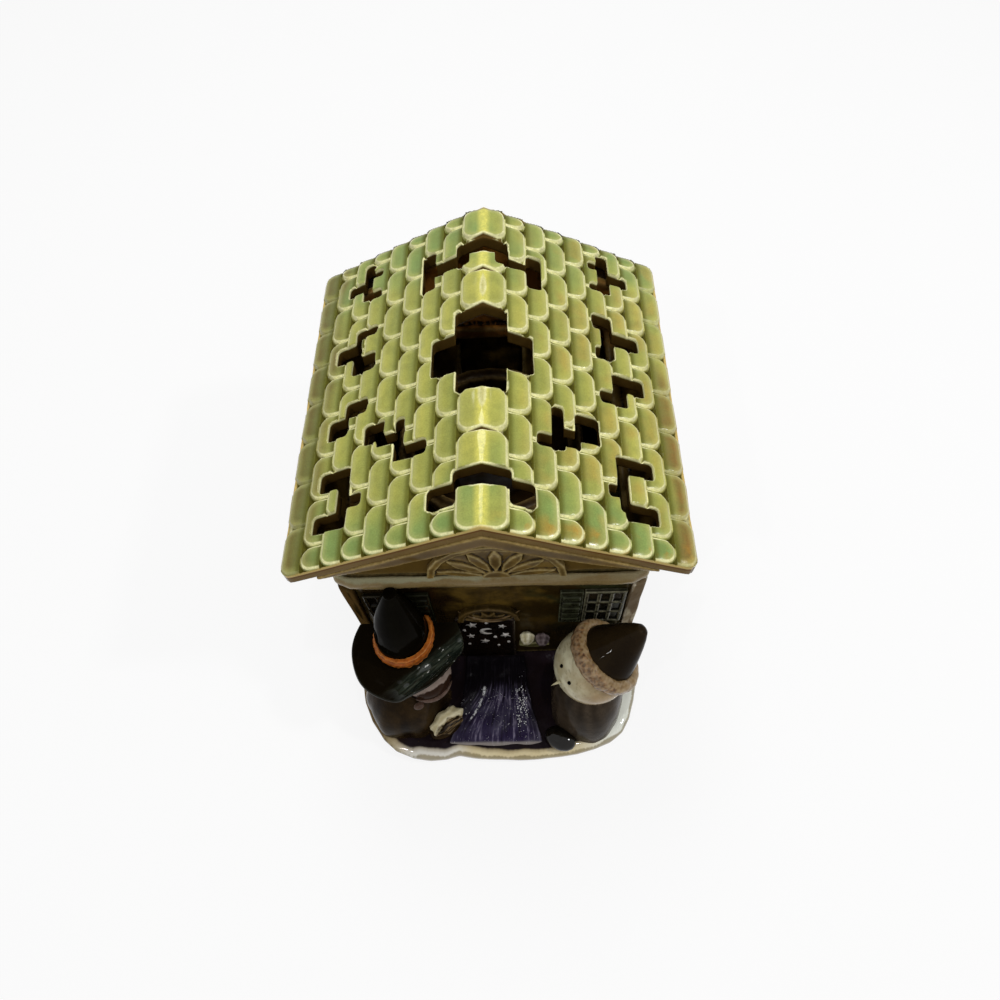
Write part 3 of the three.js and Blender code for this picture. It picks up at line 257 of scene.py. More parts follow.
def new_group(name, inputs, outputs):
    """A node group with named sockets. Inputs are rows of name, type and default value."""
    tree = bpy.data.node_groups.new(name, "ShaderNodeTree")
    for label, kind, default in inputs:
        socket = tree.interface.new_socket(label, in_out="INPUT", socket_type="NodeSocket" + kind)
        socket.default_value = default
    for label, kind in outputs:
        tree.interface.new_socket(label, in_out="OUTPUT", socket_type="NodeSocket" + kind)
    return tree, tree.nodes.new("NodeGroupInput").outputs, tree.nodes.new("NodeGroupOutput").inputs


def use(tree, group, sockets):
    """Places a group in a tree with its own values"""
    return add(tree, "Group", sockets, node_tree=group).outputs


def speckled(tree, place, colour, dark, light):
    """A colour with fine dots, as much darker and lighter as two factors say"""
    dots = ease(tree, grain(tree, place, 0.5, 2.0), 0.3, 0.75, dark, light)
    return mixed(tree, 1.0, colour, dots, "MULTIPLY")


# Shared effects


def glaze_depth_group():
    """Glaze that mottles on open faces, breaks pale where it is thin on edges, and pools dark in hollows"""
    tree, given, out = new_group(
        "Glaze depth",
        [
            ("Body", "Color", (0.5, 0.5, 0.5, 1)),
            ("Second", "Color", (0.5, 0.5, 0.5, 1)),
            ("Break", "Color", (1, 1, 1, 1)),
            ("Pool", "Color", (0, 0, 0, 1)),
            ("Edge", "Float", 0.0),
            ("Hollow", "Float", 0.0),
            ("Blotch", "Float", 12.0),
            ("Break Amount", "Float", 1.0),
            ("Pool Amount", "Float", 1.0),
        ],
        [("Color", "Color")],
    )
    place = place_mm(tree)
    wide_place = in_sizes(tree, place, given["Blotch"])
    wide = add(tree, "TexNoise", {"Vector": wide_place, "Scale": 1.0, "Detail": 4.0}).outputs[0]
    body = mixed(tree, ease(tree, wide, 0.36, 0.64), given["Body"], given["Second"])
    patchy = ease(tree, grain(tree, place, 1.6), 0.25, 0.75, 0.55, 1.25)
    thin = times(tree, given["Edge"], given["Break Amount"])
    thin = maths(tree, "MULTIPLY", thin, patchy, clamp=True)
    deep = times(tree, given["Hollow"], given["Pool Amount"])
    deep = maths(tree, "MULTIPLY", deep, patchy, clamp=True)
    colour = mixed(tree, deep, body, given["Pool"])
    colour = mixed(tree, thin, colour, given["Break"])
    fill(tree, out["Color"], speckled(tree, place, colour, 0.88, 1.1))
    return tree


def glaze_skin_group():
    """The height of a glaze coat in millimetres: slow waves, orange peel and a few pinholes"""
    tree, given, out = new_group(
        "Glaze skin",
        [("Waves", "Float", 0.2), ("Peel", "Float", 0.02), ("Pinholes", "Float", 0.04)],
        [("Height", "Float")],
    )
    place = place_mm(tree)
    waves = times(tree, grain(tree, place, 9.0, 2.0), given["Waves"])
    peel = times(tree, grain(tree, place, 1.1, 2.0), given["Peel"])
    cells = add(tree, "TexVoronoi", {"Vector": place, "Scale": 0.22}).outputs["Distance"]
    holes = times(tree, ease(tree, cells, 0.02, 0.09), given["Pinholes"])
    fill(tree, out["Height"], plus(tree, waves, peel, holes))
    return tree


def runs_group():
    """Streaks of glaze that ran down, as a mask"""
    tree, given, out = new_group(
        "Glaze runs",
        [("Width", "Float", 2.0), ("From", "Float", 0.5), ("To", "Float", 0.65)],
        [("Mask", "Float")],
    )
    long_place = in_sizes(tree, place_mm(tree, (1, 1, 0.12)), given["Width"])
    streaks = add(tree, "TexNoise", {"Vector": long_place, "Scale": 1.0, "Detail": 3.0}).outputs[0]
    fill(tree, out["Mask"], ease(tree, streaks, given["From"], given["To"]))
    return tree


def specks_group():
    """Small round iron specks, as a mask"""
    tree, given, out = new_group(
        "Iron specks",
        [("Spacing", "Float", 3.0), ("Size", "Float", 0.12)],
        [("Mask", "Float")],
    )
    spaced = in_sizes(tree, place_mm(tree), given["Spacing"])
    cells = add(tree, "TexVoronoi", {"Vector": spaced, "Scale": 1.0}).outputs["Distance"]
    edge = times(tree, given["Size"], 0.6)
    fill(tree, out["Mask"], ease(tree, cells, given["Size"], edge))
    return tree


def shingles_group():
    """Where a point lies on its shingle, in millimetres from its rounded edge and from the tile above"""
    tree, given, out = new_group(
        "Shingles",
        [("Corner", "Float", TILE_CORNER)],
        [("Inset", "Float"), ("Tuck", "Float"), ("Dice", "Float")],
    )
    apart = axes(tree, place_mm(tree))
    outward = maths(tree, "ABSOLUTE", apart["X"])
    reach = minus(tree, outward, RIDGE_CAP_HALF_WIDTH)
    course = maths(tree, "FLOOR", maths(tree, "DIVIDE", reach, COURSE_PITCH))
    course = largest(tree, plus(tree, course, 1.0), 0.0)
    course = maths(tree, "MINIMUM", course, COURSES)
    outer = plus(tree, times(tree, course, COURSE_PITCH), RIDGE_CAP_HALF_WIDTH)
    to_outer = minus(tree, outer, outward)
    shift = times(tree, maths(tree, "MODULO", course, 2.0), TILE_LENGTH / 2)
    from_front = plus(tree, apart["Y"], ROOF_FRONT)
    run = maths(tree, "DIVIDE", minus(tree, from_front, shift), TILE_LENGTH)
    number = maths(tree, "FLOOR", run)
    from_middle = maths(tree, "ABSOLUTE", minus(tree, minus(tree, run, number), 0.5))
    to_joint = times(tree, minus(tree, 0.5, from_middle), TILE_LENGTH)
    to_joint = maths(tree, "MINIMUM", to_joint, from_front)
    to_joint = maths(tree, "MINIMUM", to_joint, minus(tree, ROOF_BACK, apart["Y"]))
    over_outer = largest(tree, minus(tree, given["Corner"], to_outer), 0.0)
    over_joint = largest(tree, minus(tree, given["Corner"], to_joint), 0.0)
    outer_square = maths(tree, "POWER", over_outer, 2.0)
    squares = plus(tree, outer_square, maths(tree, "POWER", over_joint, 2.0))
    fill(tree, out["Inset"], minus(tree, given["Corner"], maths(tree, "SQRT", squares)))
    ridge = maths(tree, "LESS_THAN", reach, 0.0)
    tuck = minus(tree, COURSE_PITCH, to_outer)
    fill(tree, out["Tuck"], plus(tree, tuck, times(tree, ridge, 99.0)))
    side = maths(tree, "SIGN", apart["X"])
    key = pair(tree, times(tree, course, side), number)
    fill(tree, out["Dice"], add(tree, "TexWhiteNoise", {"Vector": key}).outputs["Value"])
    return tree


SHINGLES = shingles_group()
GLAZE_DEPTH = glaze_depth_group()
GLAZE_SKIN = glaze_skin_group()
GLAZE_RUNS = runs_group()
IRON_SPECKS = specks_group()

# Materials


def new_material(name):
    """An empty finish with its node tree and its Principled shader"""
    made = bpy.data.materials.new(name)
    made.use_nodes = True
    tree = made.node_tree
    return made, tree, tree.nodes["Principled BSDF"]


def raise_surface(tree, shader, height, distance):
    """Bumps a surface, with a height of 1 standing for a distance in metres"""
    bump = add(tree, "Bump", {"Height": height, "Distance": distance, "Strength": 1.0})
    fill(tree, shader.inputs["Normal"], bump.outputs[0])


def glaze_colour(tree, body, second, light, dark, blotch=12.0, breaks=1.0, pools=1.0):
    """Two colours in blotches, light where the glaze breaks on edges and dark where it pools"""
    return use(tree, GLAZE_DEPTH, {
        "Body": body, "Second": second, "Break": light, "Pool": dark, "Blotch": blotch,
        "Edge": mark(tree, "edge"), "Hollow": mark(tree, "hollow"),
        "Break Amount": breaks, "Pool Amount": pools,
    })["Color"]


def finish_glaze(tree, shader, colour, rough, skin, gloss=0.3, coat=0.0, dabs=None):
    """Wires a glaze: its colour, its roughness with smears, and its skin with any dabs on it"""
    fill(tree, shader.inputs["Base Color"], colour)
    smears = grain(tree, place_mm(tree), 7.0, 3.0)
    fill(tree, shader.inputs["Roughness"], ease(tree, smears, 0.3, 0.75, rough * 0.8, rough * 1.35))
    fill(tree, shader.inputs["Specular IOR Level"], gloss)
    fill(tree, shader.inputs["Coat Weight"], coat)
    height = use(tree, GLAZE_SKIN, skin)["Height"]
    if dabs is not None:
        height = plus(tree, height, dabs)
    raise_surface(tree, shader, height, MM)


def plain_glaze(
    name, body, second, light, dark,
    blotch=12.0, breaks=1.0, pools=1.0, rough=0.16, waves=0.25, peel=0.02, gloss=0.3,
):
    """A glaze of one family of colours"""
    made, tree, shader = new_material(name)
    colour = glaze_colour(tree, body, second, light, dark, blotch, breaks, pools)
    specks = use(tree, IRON_SPECKS, {"Spacing": 3.4, "Size": 0.09})["Mask"]
    colour = mixed(tree, times(tree, specks, 0.35), colour, dark)
    finish_glaze(tree, shader, colour, rough, {"Waves": waves, "Peel": peel}, gloss)
    return made


def shingle_colour(tree, place, apart, tile):
    """Yellow green, bluer near both ends, with amber on the right and each tile paler at its rim"""
    wander = grain(tree, place, 30.0, 2.0)
    along = plus(tree, maths(tree, "ABSOLUTE", apart["Y"]), drift(tree, wander, -24.0, 24.0))
    yellow = mixed(tree, tile["Dice"], paint(188, 184, 84), paint(164, 164, 74))
    blue = mixed(tree, tile["Dice"], paint(128, 154, 80), paint(148, 164, 84))
    body = mixed(tree, ease(tree, along, 34.0, 72.0), yellow, blue)
    amber = ease(tree, grain(tree, place, 16.0, 2.0), 0.46, 0.62, 0.0, 0.6)
    amber = times(tree, amber, ease(tree, apart["X"], 4.0, 26.0))
    body = mixed(tree, amber, body, paint(178, 150, 66))
    warm = mixed(tree, grain(tree, place, 9.0), paint(150, 108, 40), paint(122, 96, 40))
    olive = mixed(tree, grain(tree, place, 14.0), paint(116, 94, 34), paint(104, 100, 40))
    across = plus(tree, apart["X"], drift(tree, wander, -3.0, 3.0))
    forward = plus(tree, apart["Y"], drift(tree, wander, -30.0, 30.0))
    right_eave = times(tree, ease(tree, across, 61.0, 66.0), ease(tree, forward, 40.0, -10.0))
    body = mixed(tree, right_eave, body, warm)
    body = mixed(tree, ease(tree, across, -54.0, -63.0), body, olive)
    ends = times(tree, ease(tree, apart["Y"], -60.0, -69.0), ease(tree, apart["X"], -4.0, 20.0))
    ends = times(tree, ends, ease(tree, grain(tree, place, 8.0), 0.5, 0.62), 0.8)
    body = mixed(tree, ends, body, paint(190, 138, 40))
    patches = ease(tree, grain(tree, place, 5.0, 3.0), 0.35, 0.7, 0.0, 0.35)
    body = mixed(tree, patches, body, paint(122, 128, 58))
    near_rim = ease(tree, tile["Inset"], 3.4, 0.8, 0.0, 0.4)
    return mixed(tree, near_rim, body, paint(206, 204, 122))


def shingle_rim(tree, apart, tile):
    """A mask of the pale line round each shingle, weaker on the outermost course"""
    rim = times(tree, ease(tree, tile["Inset"], 0.05, 0.3), ease(tree, tile["Inset"], 1.25, 0.7))
    outermost = ease(tree, maths(tree, "ABSOLUTE", apart["X"]), 61.5, 63.5)
    leftward = ease(tree, apart["X"], 1.0, -1.0, 0.6, 0.88)
    return times(tree, rim, minus(tree, 1.0, times(tree, outermost, leftward)))


def roof_edge_colour(tree, place, colour):
    """Brown with a cream line on the roof's outer edges, and dark brown on the walls of its openings, with
    painted shade deeper in
    """
    depth = mark(tree, "depth")
    board = mixed(tree, grain(tree, place, 10.0), paint(96, 72, 28), paint(134, 108, 56))
    board = mixed(tree, ease(tree, depth, 0.46, 0.38), board, paint(98, 60, 16))
    board = mixed(tree, ease(tree, depth, 0.34, 0.26), board, paint(206, 180, 108))
    colour = mixed(tree, mark(tree, "fascia"), colour, board)
    inner = mixed(tree, grain(tree, place, 6.0), paint(74, 56, 22), paint(100, 76, 34))
    # Painted shade: the walls of the openings darker deeper in
    inner = mixed(tree, ease(tree, depth, 0.75, 1.0), inner, paint(58, 42, 16))
    return mixed(tree, mark(tree, "inside"), colour, inner)


def roof_glaze():
    """Green shingles with pale rims, darker as painted shade with pooled glaze where they slip under the
    next, a painted highlight along the crest, dull on edges and in grooves
    """
    made, tree, shader = new_material("green roof glaze")
    place = place_mm(tree)
    apart = axes(tree, place)
    tile = use(tree, SHINGLES, {"Corner": TILE_CORNER})
    cream = paint(250, 246, 186)
    body = shingle_colour(tree, place, apart, tile)
    # Partly pooled glaze and partly painted shade: each shingle darker towards the tile above it, broadly
    # and then strongly close to it
    shaded = ease(tree, tile["Tuck"], 5.5, 1.5, 0.0, 0.35)
    body = mixed(tree, shaded, body, paint(104, 124, 58))
    tuck_shade_and_pool = ease(tree, tile["Tuck"], 2.6, 0.3, 0.0, 0.8)
    body = mixed(tree, tuck_shade_and_pool, body, paint(92, 92, 32))
    soft = ease(tree, grain(tree, place, 1.4), 0.2, 0.8, 0.6, 1.1)
    # A painted highlight: a pale yellow band along the ridge's crest
    painted_crest_highlight = times(tree, ease(tree, maths(tree, "ABSOLUTE", apart["X"]), 3.2, 0.7), soft, 0.8)
    colour = mixed(tree, painted_crest_highlight, body, paint(234, 226, 108))
    colour = mixed(tree, times(tree, shingle_rim(tree, apart, tile), soft), colour, cream)
    valley = ease(tree, tile["Inset"], 0.12, -0.3)
    colour = mixed(tree, valley, colour, paint(84, 80, 26))
    colour = mixed(tree, ease(tree, apart["Y"], 69.2, 70.4), colour, paint(122, 122, 84))
    lip = maths(tree, "MULTIPLY", mark(tree, "lip"), soft, clamp=True)
    lip = maths(tree, "MULTIPLY", lip, 1.5, clamp=True)
    colour = roof_edge_colour(tree, place, mixed(tree, lip, colour, cream))
    colour = speckled(tree, place, colour, 0.9, 1.08)
    dull = largest(tree, mark(tree, "fascia"), mark(tree, "inside"), tuck_shade_and_pool, valley)
    gloss = ease(tree, dull, 0.0, 1.0, 0.28, 0.02)
    finish_glaze(tree, shader, colour, 0.2, {"Waves": 0.15, "Peel": 0.03}, gloss)
    return made


def wall_glaze():
    """The house walls: near-black brown at the left, olive in the middle, dark green at the right, with
    painted shade near black low down
    """
    made, tree, shader = new_material("brown wall glaze")
    place = place_mm(tree)
    apart = axes(tree, place)
    wander = drift(tree, grain(tree, place, 16.0), -12.0, 12.0)
    across = plus(tree, apart["X"], wander)
    body = mixed(tree, ease(tree, across, -4.0, -24.0), paint(98, 76, 30), paint(30, 19, 9))
    body = mixed(tree, ease(tree, across, 14.0, 30.0), body, paint(48, 50, 28))
    # Painted shade: the walls turn near black low down
    low = ease(tree, apart["Z"], 60.0, 30.0)
    body = mixed(tree, times(tree, low, 0.85), body, paint(20, 12, 8))
    colour = glaze_colour(
        tree, body, paint(46, 34, 12), paint(120, 104, 64), paint(12, 7, 4), blotch=14.0, breaks=0.6,
    )
    streaks = use(tree, GLAZE_RUNS, {"Width": 4.0, "From": 0.5, "To": 0.7})["Mask"]
    colour = mixed(tree, times(tree, streaks, 0.4), colour, paint(16, 11, 5))
    finish_glaze(tree, shader, colour, 0.15, {"Waves": 0.4, "Peel": 0.02}, 0.02)
    return made


def lid_glaze():
    """Olive brown outside the lid, and amber on its inner back wall, partly glaze and partly painted light,
    paler in blotches
    """
    made, tree, shader = new_material("amber lid glaze")
    place = place_mm(tree)
    apart = axes(tree, place)
    body = mixed(tree, grain(tree, place, 15.0), paint(104, 80, 34), paint(74, 58, 24))
    thin = ease(tree, grain(tree, place, 12.0), 0.42, 0.58)
    back = times(tree, ease(tree, apart["Y"], 40.0, 52.0), ease(tree, apart["Y"], 61.0, 59.0))
    within = ease(tree, maths(tree, "ABSOLUTE", apart["X"]), 56.5, 55.0)
    # Partly glaze colour and partly painted light: the amber on the inner back wall is brightened, paler in
    # blotches
    amber = mixed(tree, thin, paint(122, 78, 28), paint(186, 122, 50))
    body = mixed(tree, times(tree, back, within), body, amber)
    colour = glaze_colour(tree, body, body, paint(128, 108, 64), paint(26, 16, 6), breaks=0.7)
    finish_glaze(tree, shader, colour, 0.16, {"Waves": 0.4, "Peel": 0.02}, 0.03)
    return made


def board_glaze():
    """The corner boards: ivory with brown streaks on the right, dark olive brown on the left"""
    made, tree, shader = new_material("board glaze")
    place = place_mm(tree)
    apart = axes(tree, place)
    right = ease(tree, apart["X"], -20.0, 20.0)
    body = mixed(tree, right, paint(54, 41, 18), paint(172, 160, 132))
    second = mixed(tree, right, paint(34, 25, 10), paint(124, 108, 78))
    light = mixed(tree, right, paint(112, 94, 56), paint(228, 220, 200))
    colour = glaze_colour(tree, body, second, light, paint(60, 44, 22), blotch=7.0, breaks=0.5)
    streaks = use(tree, GLAZE_RUNS, {"Width": 3.2, "From": 0.4, "To": 0.52})["Mask"]
    colour = mixed(tree, times(tree, streaks, 0.85), colour, paint(88, 66, 34))
    shine = times(tree, right, 0.1)
    finish_glaze(tree, shader, colour, 0.14, {"Waves": 0.3, "Peel": 0.02}, 0.0, shine)
    return made


def plinth_glaze():
    """Ivory rim with a painted highlight at the left front, browner at its outer edge and darker low down,
    partly as painted shade, and dark glaze pooled on top round the figures and the path
    """
    made, tree, shader = new_material("plinth glaze")
    place = place_mm(tree)
    apart = axes(tree, place)
    inland = times(tree, mark(tree, "inland"), INLAND_REACH)
    inland = plus(tree, inland, ease(tree, grain(tree, place, 14.0, 1.0), 0.25, 0.75, -0.8, 0.8))
    ivory = mixed(tree, grain(tree, place, 10.0), paint(236, 222, 180), paint(216, 196, 146))
    # A painted highlight: paler ivory at the left front
    painted_highlight_left_front = ease(tree, maths(tree, "ABSOLUTE", plus(tree, apart["X"], 30.0)), 20.0, 8.0)
    ivory = mixed(tree, painted_highlight_left_front, ivory, paint(230, 226, 214))
    right = ease(tree, apart["X"], 30.0, 52.0)
    ivory = mixed(tree, right, ivory, paint(242, 244, 232))
    olive = mixed(tree, grain(tree, place, 3.0), paint(116, 98, 54), paint(154, 138, 92))
    # Partly glaze colour and partly painted shade: browner on the lower side and darkest at the foot
    under = ease(tree, apart["Z"], 6.6, 4.2)
    outer = ease(tree, inland, 1.5, 0.7, 0.0, 0.75)
    ivory = mixed(tree, largest(tree, times(tree, under, 0.85), outer), ivory, olive)
    foot = ease(tree, apart["Z"], 2.6, 1.2)
    ivory = mixed(tree, times(tree, foot, 0.8), ivory, paint(74, 60, 28))
    left = ease(tree, apart["X"], -38.0, -56.0)
    ivory = mixed(tree, times(tree, left, 0.85), ivory, paint(92, 70, 40))
    start = times(tree, right, 3.2)
    from_rim = minus(tree, inland, start)
    ivory = mixed(tree, ease(tree, from_rim, 1.8, 3.6, 0.0, 0.55), ivory, paint(140, 118, 76))
    pooled = ease(tree, from_rim, 3.2, 4.4)
    dark = mixed(tree, grain(tree, place, 7.0), paint(24, 15, 11), paint(34, 27, 34))
    dark = mixed(tree, left, dark, paint(50, 35, 18))
    colour = mixed(tree, pooled, ivory, dark)
    specks = use(tree, IRON_SPECKS, {"Spacing": 3.0, "Size": 0.1})["Mask"]
    colour = mixed(tree, times(tree, specks, 0.4), colour, paint(80, 56, 28))
    bare = minus(tree, 1.0, largest(tree, pooled, left))
    shine = times(tree, bare, 0.7)
    finish_glaze(tree, shader, colour, 0.1, {"Waves": 0.6, "Peel": 0.03}, 0.02, shine)
    return made


def face_glaze():
    """The left figure's face: a pale band under the brim and dark hair below it"""
    made, tree, shader = new_material("lilac face glaze")
    place = place_mm(tree)
    lean = how_far(tree, place, WITCH_HEAD, FACE_LEAN)
    lean = plus(tree, lean, drift(tree, grain(tree, place, 4.0), -0.7, 0.7))
    skin = mixed(tree, grain(tree, place, 3.0), paint(162, 148, 138), paint(120, 102, 92))
    hair = mixed(tree, grain(tree, place_mm(tree, (1, 1, 0.2)), 1.2), paint(54, 34, 22), paint(30, 18, 10))
    colour = mixed(tree, ease(tree, lean, -3.7, -4.4), skin, hair)
    colour = mixed(tree, ease(tree, lean, -1.6, -0.8), colour, hair)
    finish_glaze(tree, shader, colour, 0.16, {"Waves": 0.2, "Peel": 0.04}, 0.02)
    return made


def path_glints(tree, place, apart):
    """A mask of the painted glints on the path: a broken line at the left, a band of dots, and strays"""
    along = minus(tree, -83.0, apart["Y"])
    curve = times(tree, maths(tree, "POWER", along, 2.0), -0.03)
    curve = minus(tree, curve, drift(tree, grain(tree, place, 4.0), 6.3, 7.4))
    from_line = maths(tree, "ABSOLUTE", minus(tree, apart["X"], curve))
    chips = grain(tree, place, 1.3, 3.0, 0.7)
    line = times(
        tree, ease(tree, from_line, 0.75, 0.25), ease(tree, chips, 0.42, 0.52),
        ease(tree, apart["Y"], -82.0, -83.0), ease(tree, apart["Y"], -98.0, -96.0),
    )
    dots = add(tree, "TexVoronoi", {"Vector": place, "Scale": 1.25}).outputs["Distance"]
    from_band = maths(tree, "ABSOLUTE", minus(tree, apart["X"], GLINT_BAND))
    sparse = plus(
        tree, ease(tree, from_band, 1.2, 3.4),
        ease(tree, apart["Y"], -84.0, -81.5), ease(tree, apart["Y"], -95.0, -101.0),
        ease(tree, grain(tree, place, 2.2), 0.35, 0.65, 0.5, -0.5),
    )
    smaller = ease(tree, sparse, 0.0, 1.0, 0.0, 0.3)
    band = ease(tree, plus(tree, dots, smaller), 0.44, 0.34)
    band = times(tree, band, ease(tree, sparse, 1.0, 0.8))
    strays = times(
        tree, ease(tree, dots, 0.2, 0.12), ease(tree, chips, 0.55, 0.62),
        ease(tree, apart["Y"], -88.0, -94.0),
    )
    return largest(tree, line, band, strays)


def path_glaze():
    """The garden path: violet glaze brushed lengthwise, with painted shade near black at the door and
    painted glints on it
    """
    made, tree, shader = new_material("violet path glaze")
    place = place_mm(tree)
    apart = axes(tree, place)
    fan = ease(tree, apart["Y"], -80.0, -106.0, 1.0, 2.1)
    aside = maths(tree, "DIVIDE", minus(tree, apart["X"], PATH_MIDDLE), fan)
    brushed = grain(tree, pair(tree, aside, times(tree, apart["Y"], 0.06)), 0.8, 3.0, 0.6)
    colour = glaze_colour(
        tree, paint(46, 38, 66), paint(58, 52, 76), paint(110, 106, 120), paint(24, 18, 34),
        blotch=7.0, breaks=0.5,
    )
    thick = ease(tree, grain(tree, place, 4.5), 0.35, 0.62, 0.15, 1.0)
    pale = times(tree, ease(tree, brushed, 0.5, 0.68), thick)
    colour = mixed(tree, pale, colour, paint(138, 130, 152))
    colour = mixed(tree, ease(tree, brushed, 0.46, 0.34, 0.0, 0.7), colour, paint(24, 18, 30))
    arch = times(tree, maths(tree, "POWER", minus(tree, apart["X"], 2.0), 2.0), 0.03)
    arch = plus(tree, apart["Y"], arch, ease(tree, brushed, 0.3, 0.7, 2.5, -2.5))
    # Painted shade: the path near black where it runs up to the door
    painted_door_shade = ease(tree, arch, -90.0, -79.0, 0.0, 0.96)
    sides = largest(tree, ease(tree, apart["X"], 12.0, 15.0), ease(tree, apart["X"], -9.0, -16.0))
    sides = times(tree, sides, ease(tree, apart["Y"], -104.0, -94.0, 0.3, 0.8))
    colour = mixed(tree, largest(tree, painted_door_shade, sides), colour, paint(15, 11, 13))
    edge = ease(tree, apart["Y"], -106.2, -107.4)
    colour = mixed(tree, times(tree, edge, 0.8), colour, paint(150, 142, 136))
    glints = path_glints(tree, place, apart)
    # Painted highlights: near-white glints mixed into the colour
    colour = mixed(tree, times(tree, glints, 0.96), colour, paint(250, 250, 252))
    dabs = times(tree, plus(tree, glints, brushed), 0.25)
    finish_glaze(tree, shader, colour, 0.09, {"Waves": 0.4, "Peel": 0.03}, 0.04, glints, dabs)
    return made


def band_glaze():
    """The band under the lid: a painted pale highlight along its top, stronger to the left, olive brown
    below
    """
    made, tree, shader = new_material("rim band glaze")
    place = place_mm(tree)
    apart = axes(tree, place)
    height = plus(tree, apart["Z"], drift(tree, grain(tree, place, 12.0), -1.8, 1.8))
    body = mixed(tree, grain(tree, place, 12.0), paint(122, 100, 56), paint(146, 124, 80))
    body = mixed(tree, ease(tree, height, 86.5, 83.5), body, paint(72, 56, 24))
    # A painted highlight: a pale strip along the top, stronger towards the left
    leftward = ease(tree, apart["X"], 20.0, -10.0, 0.3, 1.0)
    pale = times(tree, ease(tree, height, 89.6, 91.4), leftward)
    body = mixed(tree, pale, body, paint(156, 152, 118))
    colour = glaze_colour(
        tree, body, body, paint(182, 170, 136), paint(36, 26, 10), breaks=0.35, pools=1.2,
    )
    finish_glaze(tree, shader, colour, 0.14, {"Waves": 0.3, "Peel": 0.03}, 0.04, 0.1)
    return made


def brim_glaze():
    """The pointed hat's brim: black, with painted grey-green reflections in streaks along the turned-up
    front and painted white glints
    """
    made, tree, shader = new_material("brim glaze")
    place = place_mm(tree)
    ahead_x, ahead_y = WITCH_FACING
    out = how_far(tree, place, BRIM_CENTRE, (ahead_x, ahead_y, 0.0))
    over = how_far(tree, place, BRIM_CENTRE, (-ahead_y, ahead_x, 0.0))
    lengthwise = pair(tree, times(tree, over, 0.12), out)
    streaks = ease(tree, grain(tree, lengthwise, 1.1, 4.0, 0.65), 0.4, 0.72)
    front = times(tree, ease(tree, out, 8.0, 12.5), ease(tree, out, 20.5, 16.0),
                  ease(tree, over, -19.0, -6.0))
    black_brown = mixed(tree, grain(tree, place, 9.0), paint(15, 11, 5), paint(22, 17, 8))
    # Painted reflection: grey green, in streaks along the turned-up front
    colour = mixed(tree, times(tree, front, 0.7), black_brown, paint(28, 38, 32))
    colour = mixed(tree, times(tree, front, streaks), colour, paint(74, 82, 70))
    colour = mixed(tree, times(tree, mark(tree, "edge"), 0.25), colour, paint(50, 50, 38))
    # Painted highlights: short white glints on the front
    painted_glints = grain(tree, pair(tree, times(tree, over, 0.4), out), 1.5)
    painted_glints = times(tree, ease(tree, painted_glints, 0.62, 0.65), ease(tree, over, -3.0, 0.0))
    painted_glints = times(tree, painted_glints, times(tree, front, ease(tree, over, 14.0, 10.0)))
    colour = mixed(tree, painted_glints, colour, paint(244, 246, 240))
    shine = times(tree, front, 0.8)
    finish_glaze(tree, shader, colour, 0.06, {"Waves": 0.35, "Peel": 0.02}, 0.02, shine)
    return made


def cuff_glaze():
    """The bell sleeve's end: a cream trim on the outer half, and painted brown shade with fine lines on the
    hollowed side
    """
    made, tree, shader = new_material("cuff glaze")
    place = place_mm(tree)
    u = how_far(tree, place, CUFF, (math.cos(CUFF_TURN), math.sin(CUFF_TURN), 0.0))
    v = how_far(tree, place, CUFF, (-math.sin(CUFF_TURN), math.cos(CUFF_TURN), 0.0))
    past = plus(tree, v, times(tree, maths(tree, "POWER", u, 2.0), CUFF_BOW))
    past = plus(tree, past, drift(tree, grain(tree, place, 3.0), -0.5, 0.9))
    trim = mixed(tree, grain(tree, place, 3.0), paint(206, 196, 156), paint(168, 152, 112))
    trim = mixed(tree, times(tree, mark(tree, "edge"), 0.5), trim, paint(232, 226, 196))
    along = pair(tree, times(tree, u, 0.14), v)
    lines = ease(tree, grain(tree, along, 0.9, 3.0, 0.6), 0.42, 0.6)
    # Painted shade: dark brown with paler lines on the hollowed side, away from the trim
    painted_shade_lined = mixed(tree, lines, paint(30, 21, 10), paint(112, 92, 62))
    colour = mixed(tree, ease(tree, past, 0.3, -0.5), trim, painted_shade_lined)
    finish_glaze(tree, shader, colour, 0.15, {"Waves": 0.2, "Peel": 0.05}, 0.12)
    return made


def ruff_glaze():
    """The round hat's rolled edge: tan by the hat, mottled brown towards the face"""
    made, tree, shader = new_material("ruff glaze")
    place = place_mm(tree)
    along = how_far(tree, place, HAT_SEAT, HAT_AXIS)
    along = plus(tree, along, drift(tree, grain(tree, place, 2.2), -1.6, 1.6))
    along = minus(tree, along, ease(tree, axes(tree, place)["X"], 53.0, 36.0, 0.0, 2.6))
    tan = mixed(tree, grain(tree, place, 2.6), paint(152, 124, 82), paint(106, 82, 50))
    mottle = ease(tree, grain(tree, place, 1.3), 0.35, 0.65)
    brown = mixed(tree, mottle, paint(74, 46, 24), paint(142, 106, 68))
    colour = mixed(tree, ease(tree, along, 0.4, -0.8), tan, brown)
    colour = mixed(tree, times(tree, mark(tree, "edge"), 0.5), colour, paint(206, 184, 148))
    colour = mixed(tree, times(tree, mark(tree, "hollow"), 0.7), colour, paint(56, 34, 18))
    finish_glaze(tree, shader, colour, 0.1, {"Waves": 0.2, "Peel": 0.22}, 0.12, 0.15)
    return made


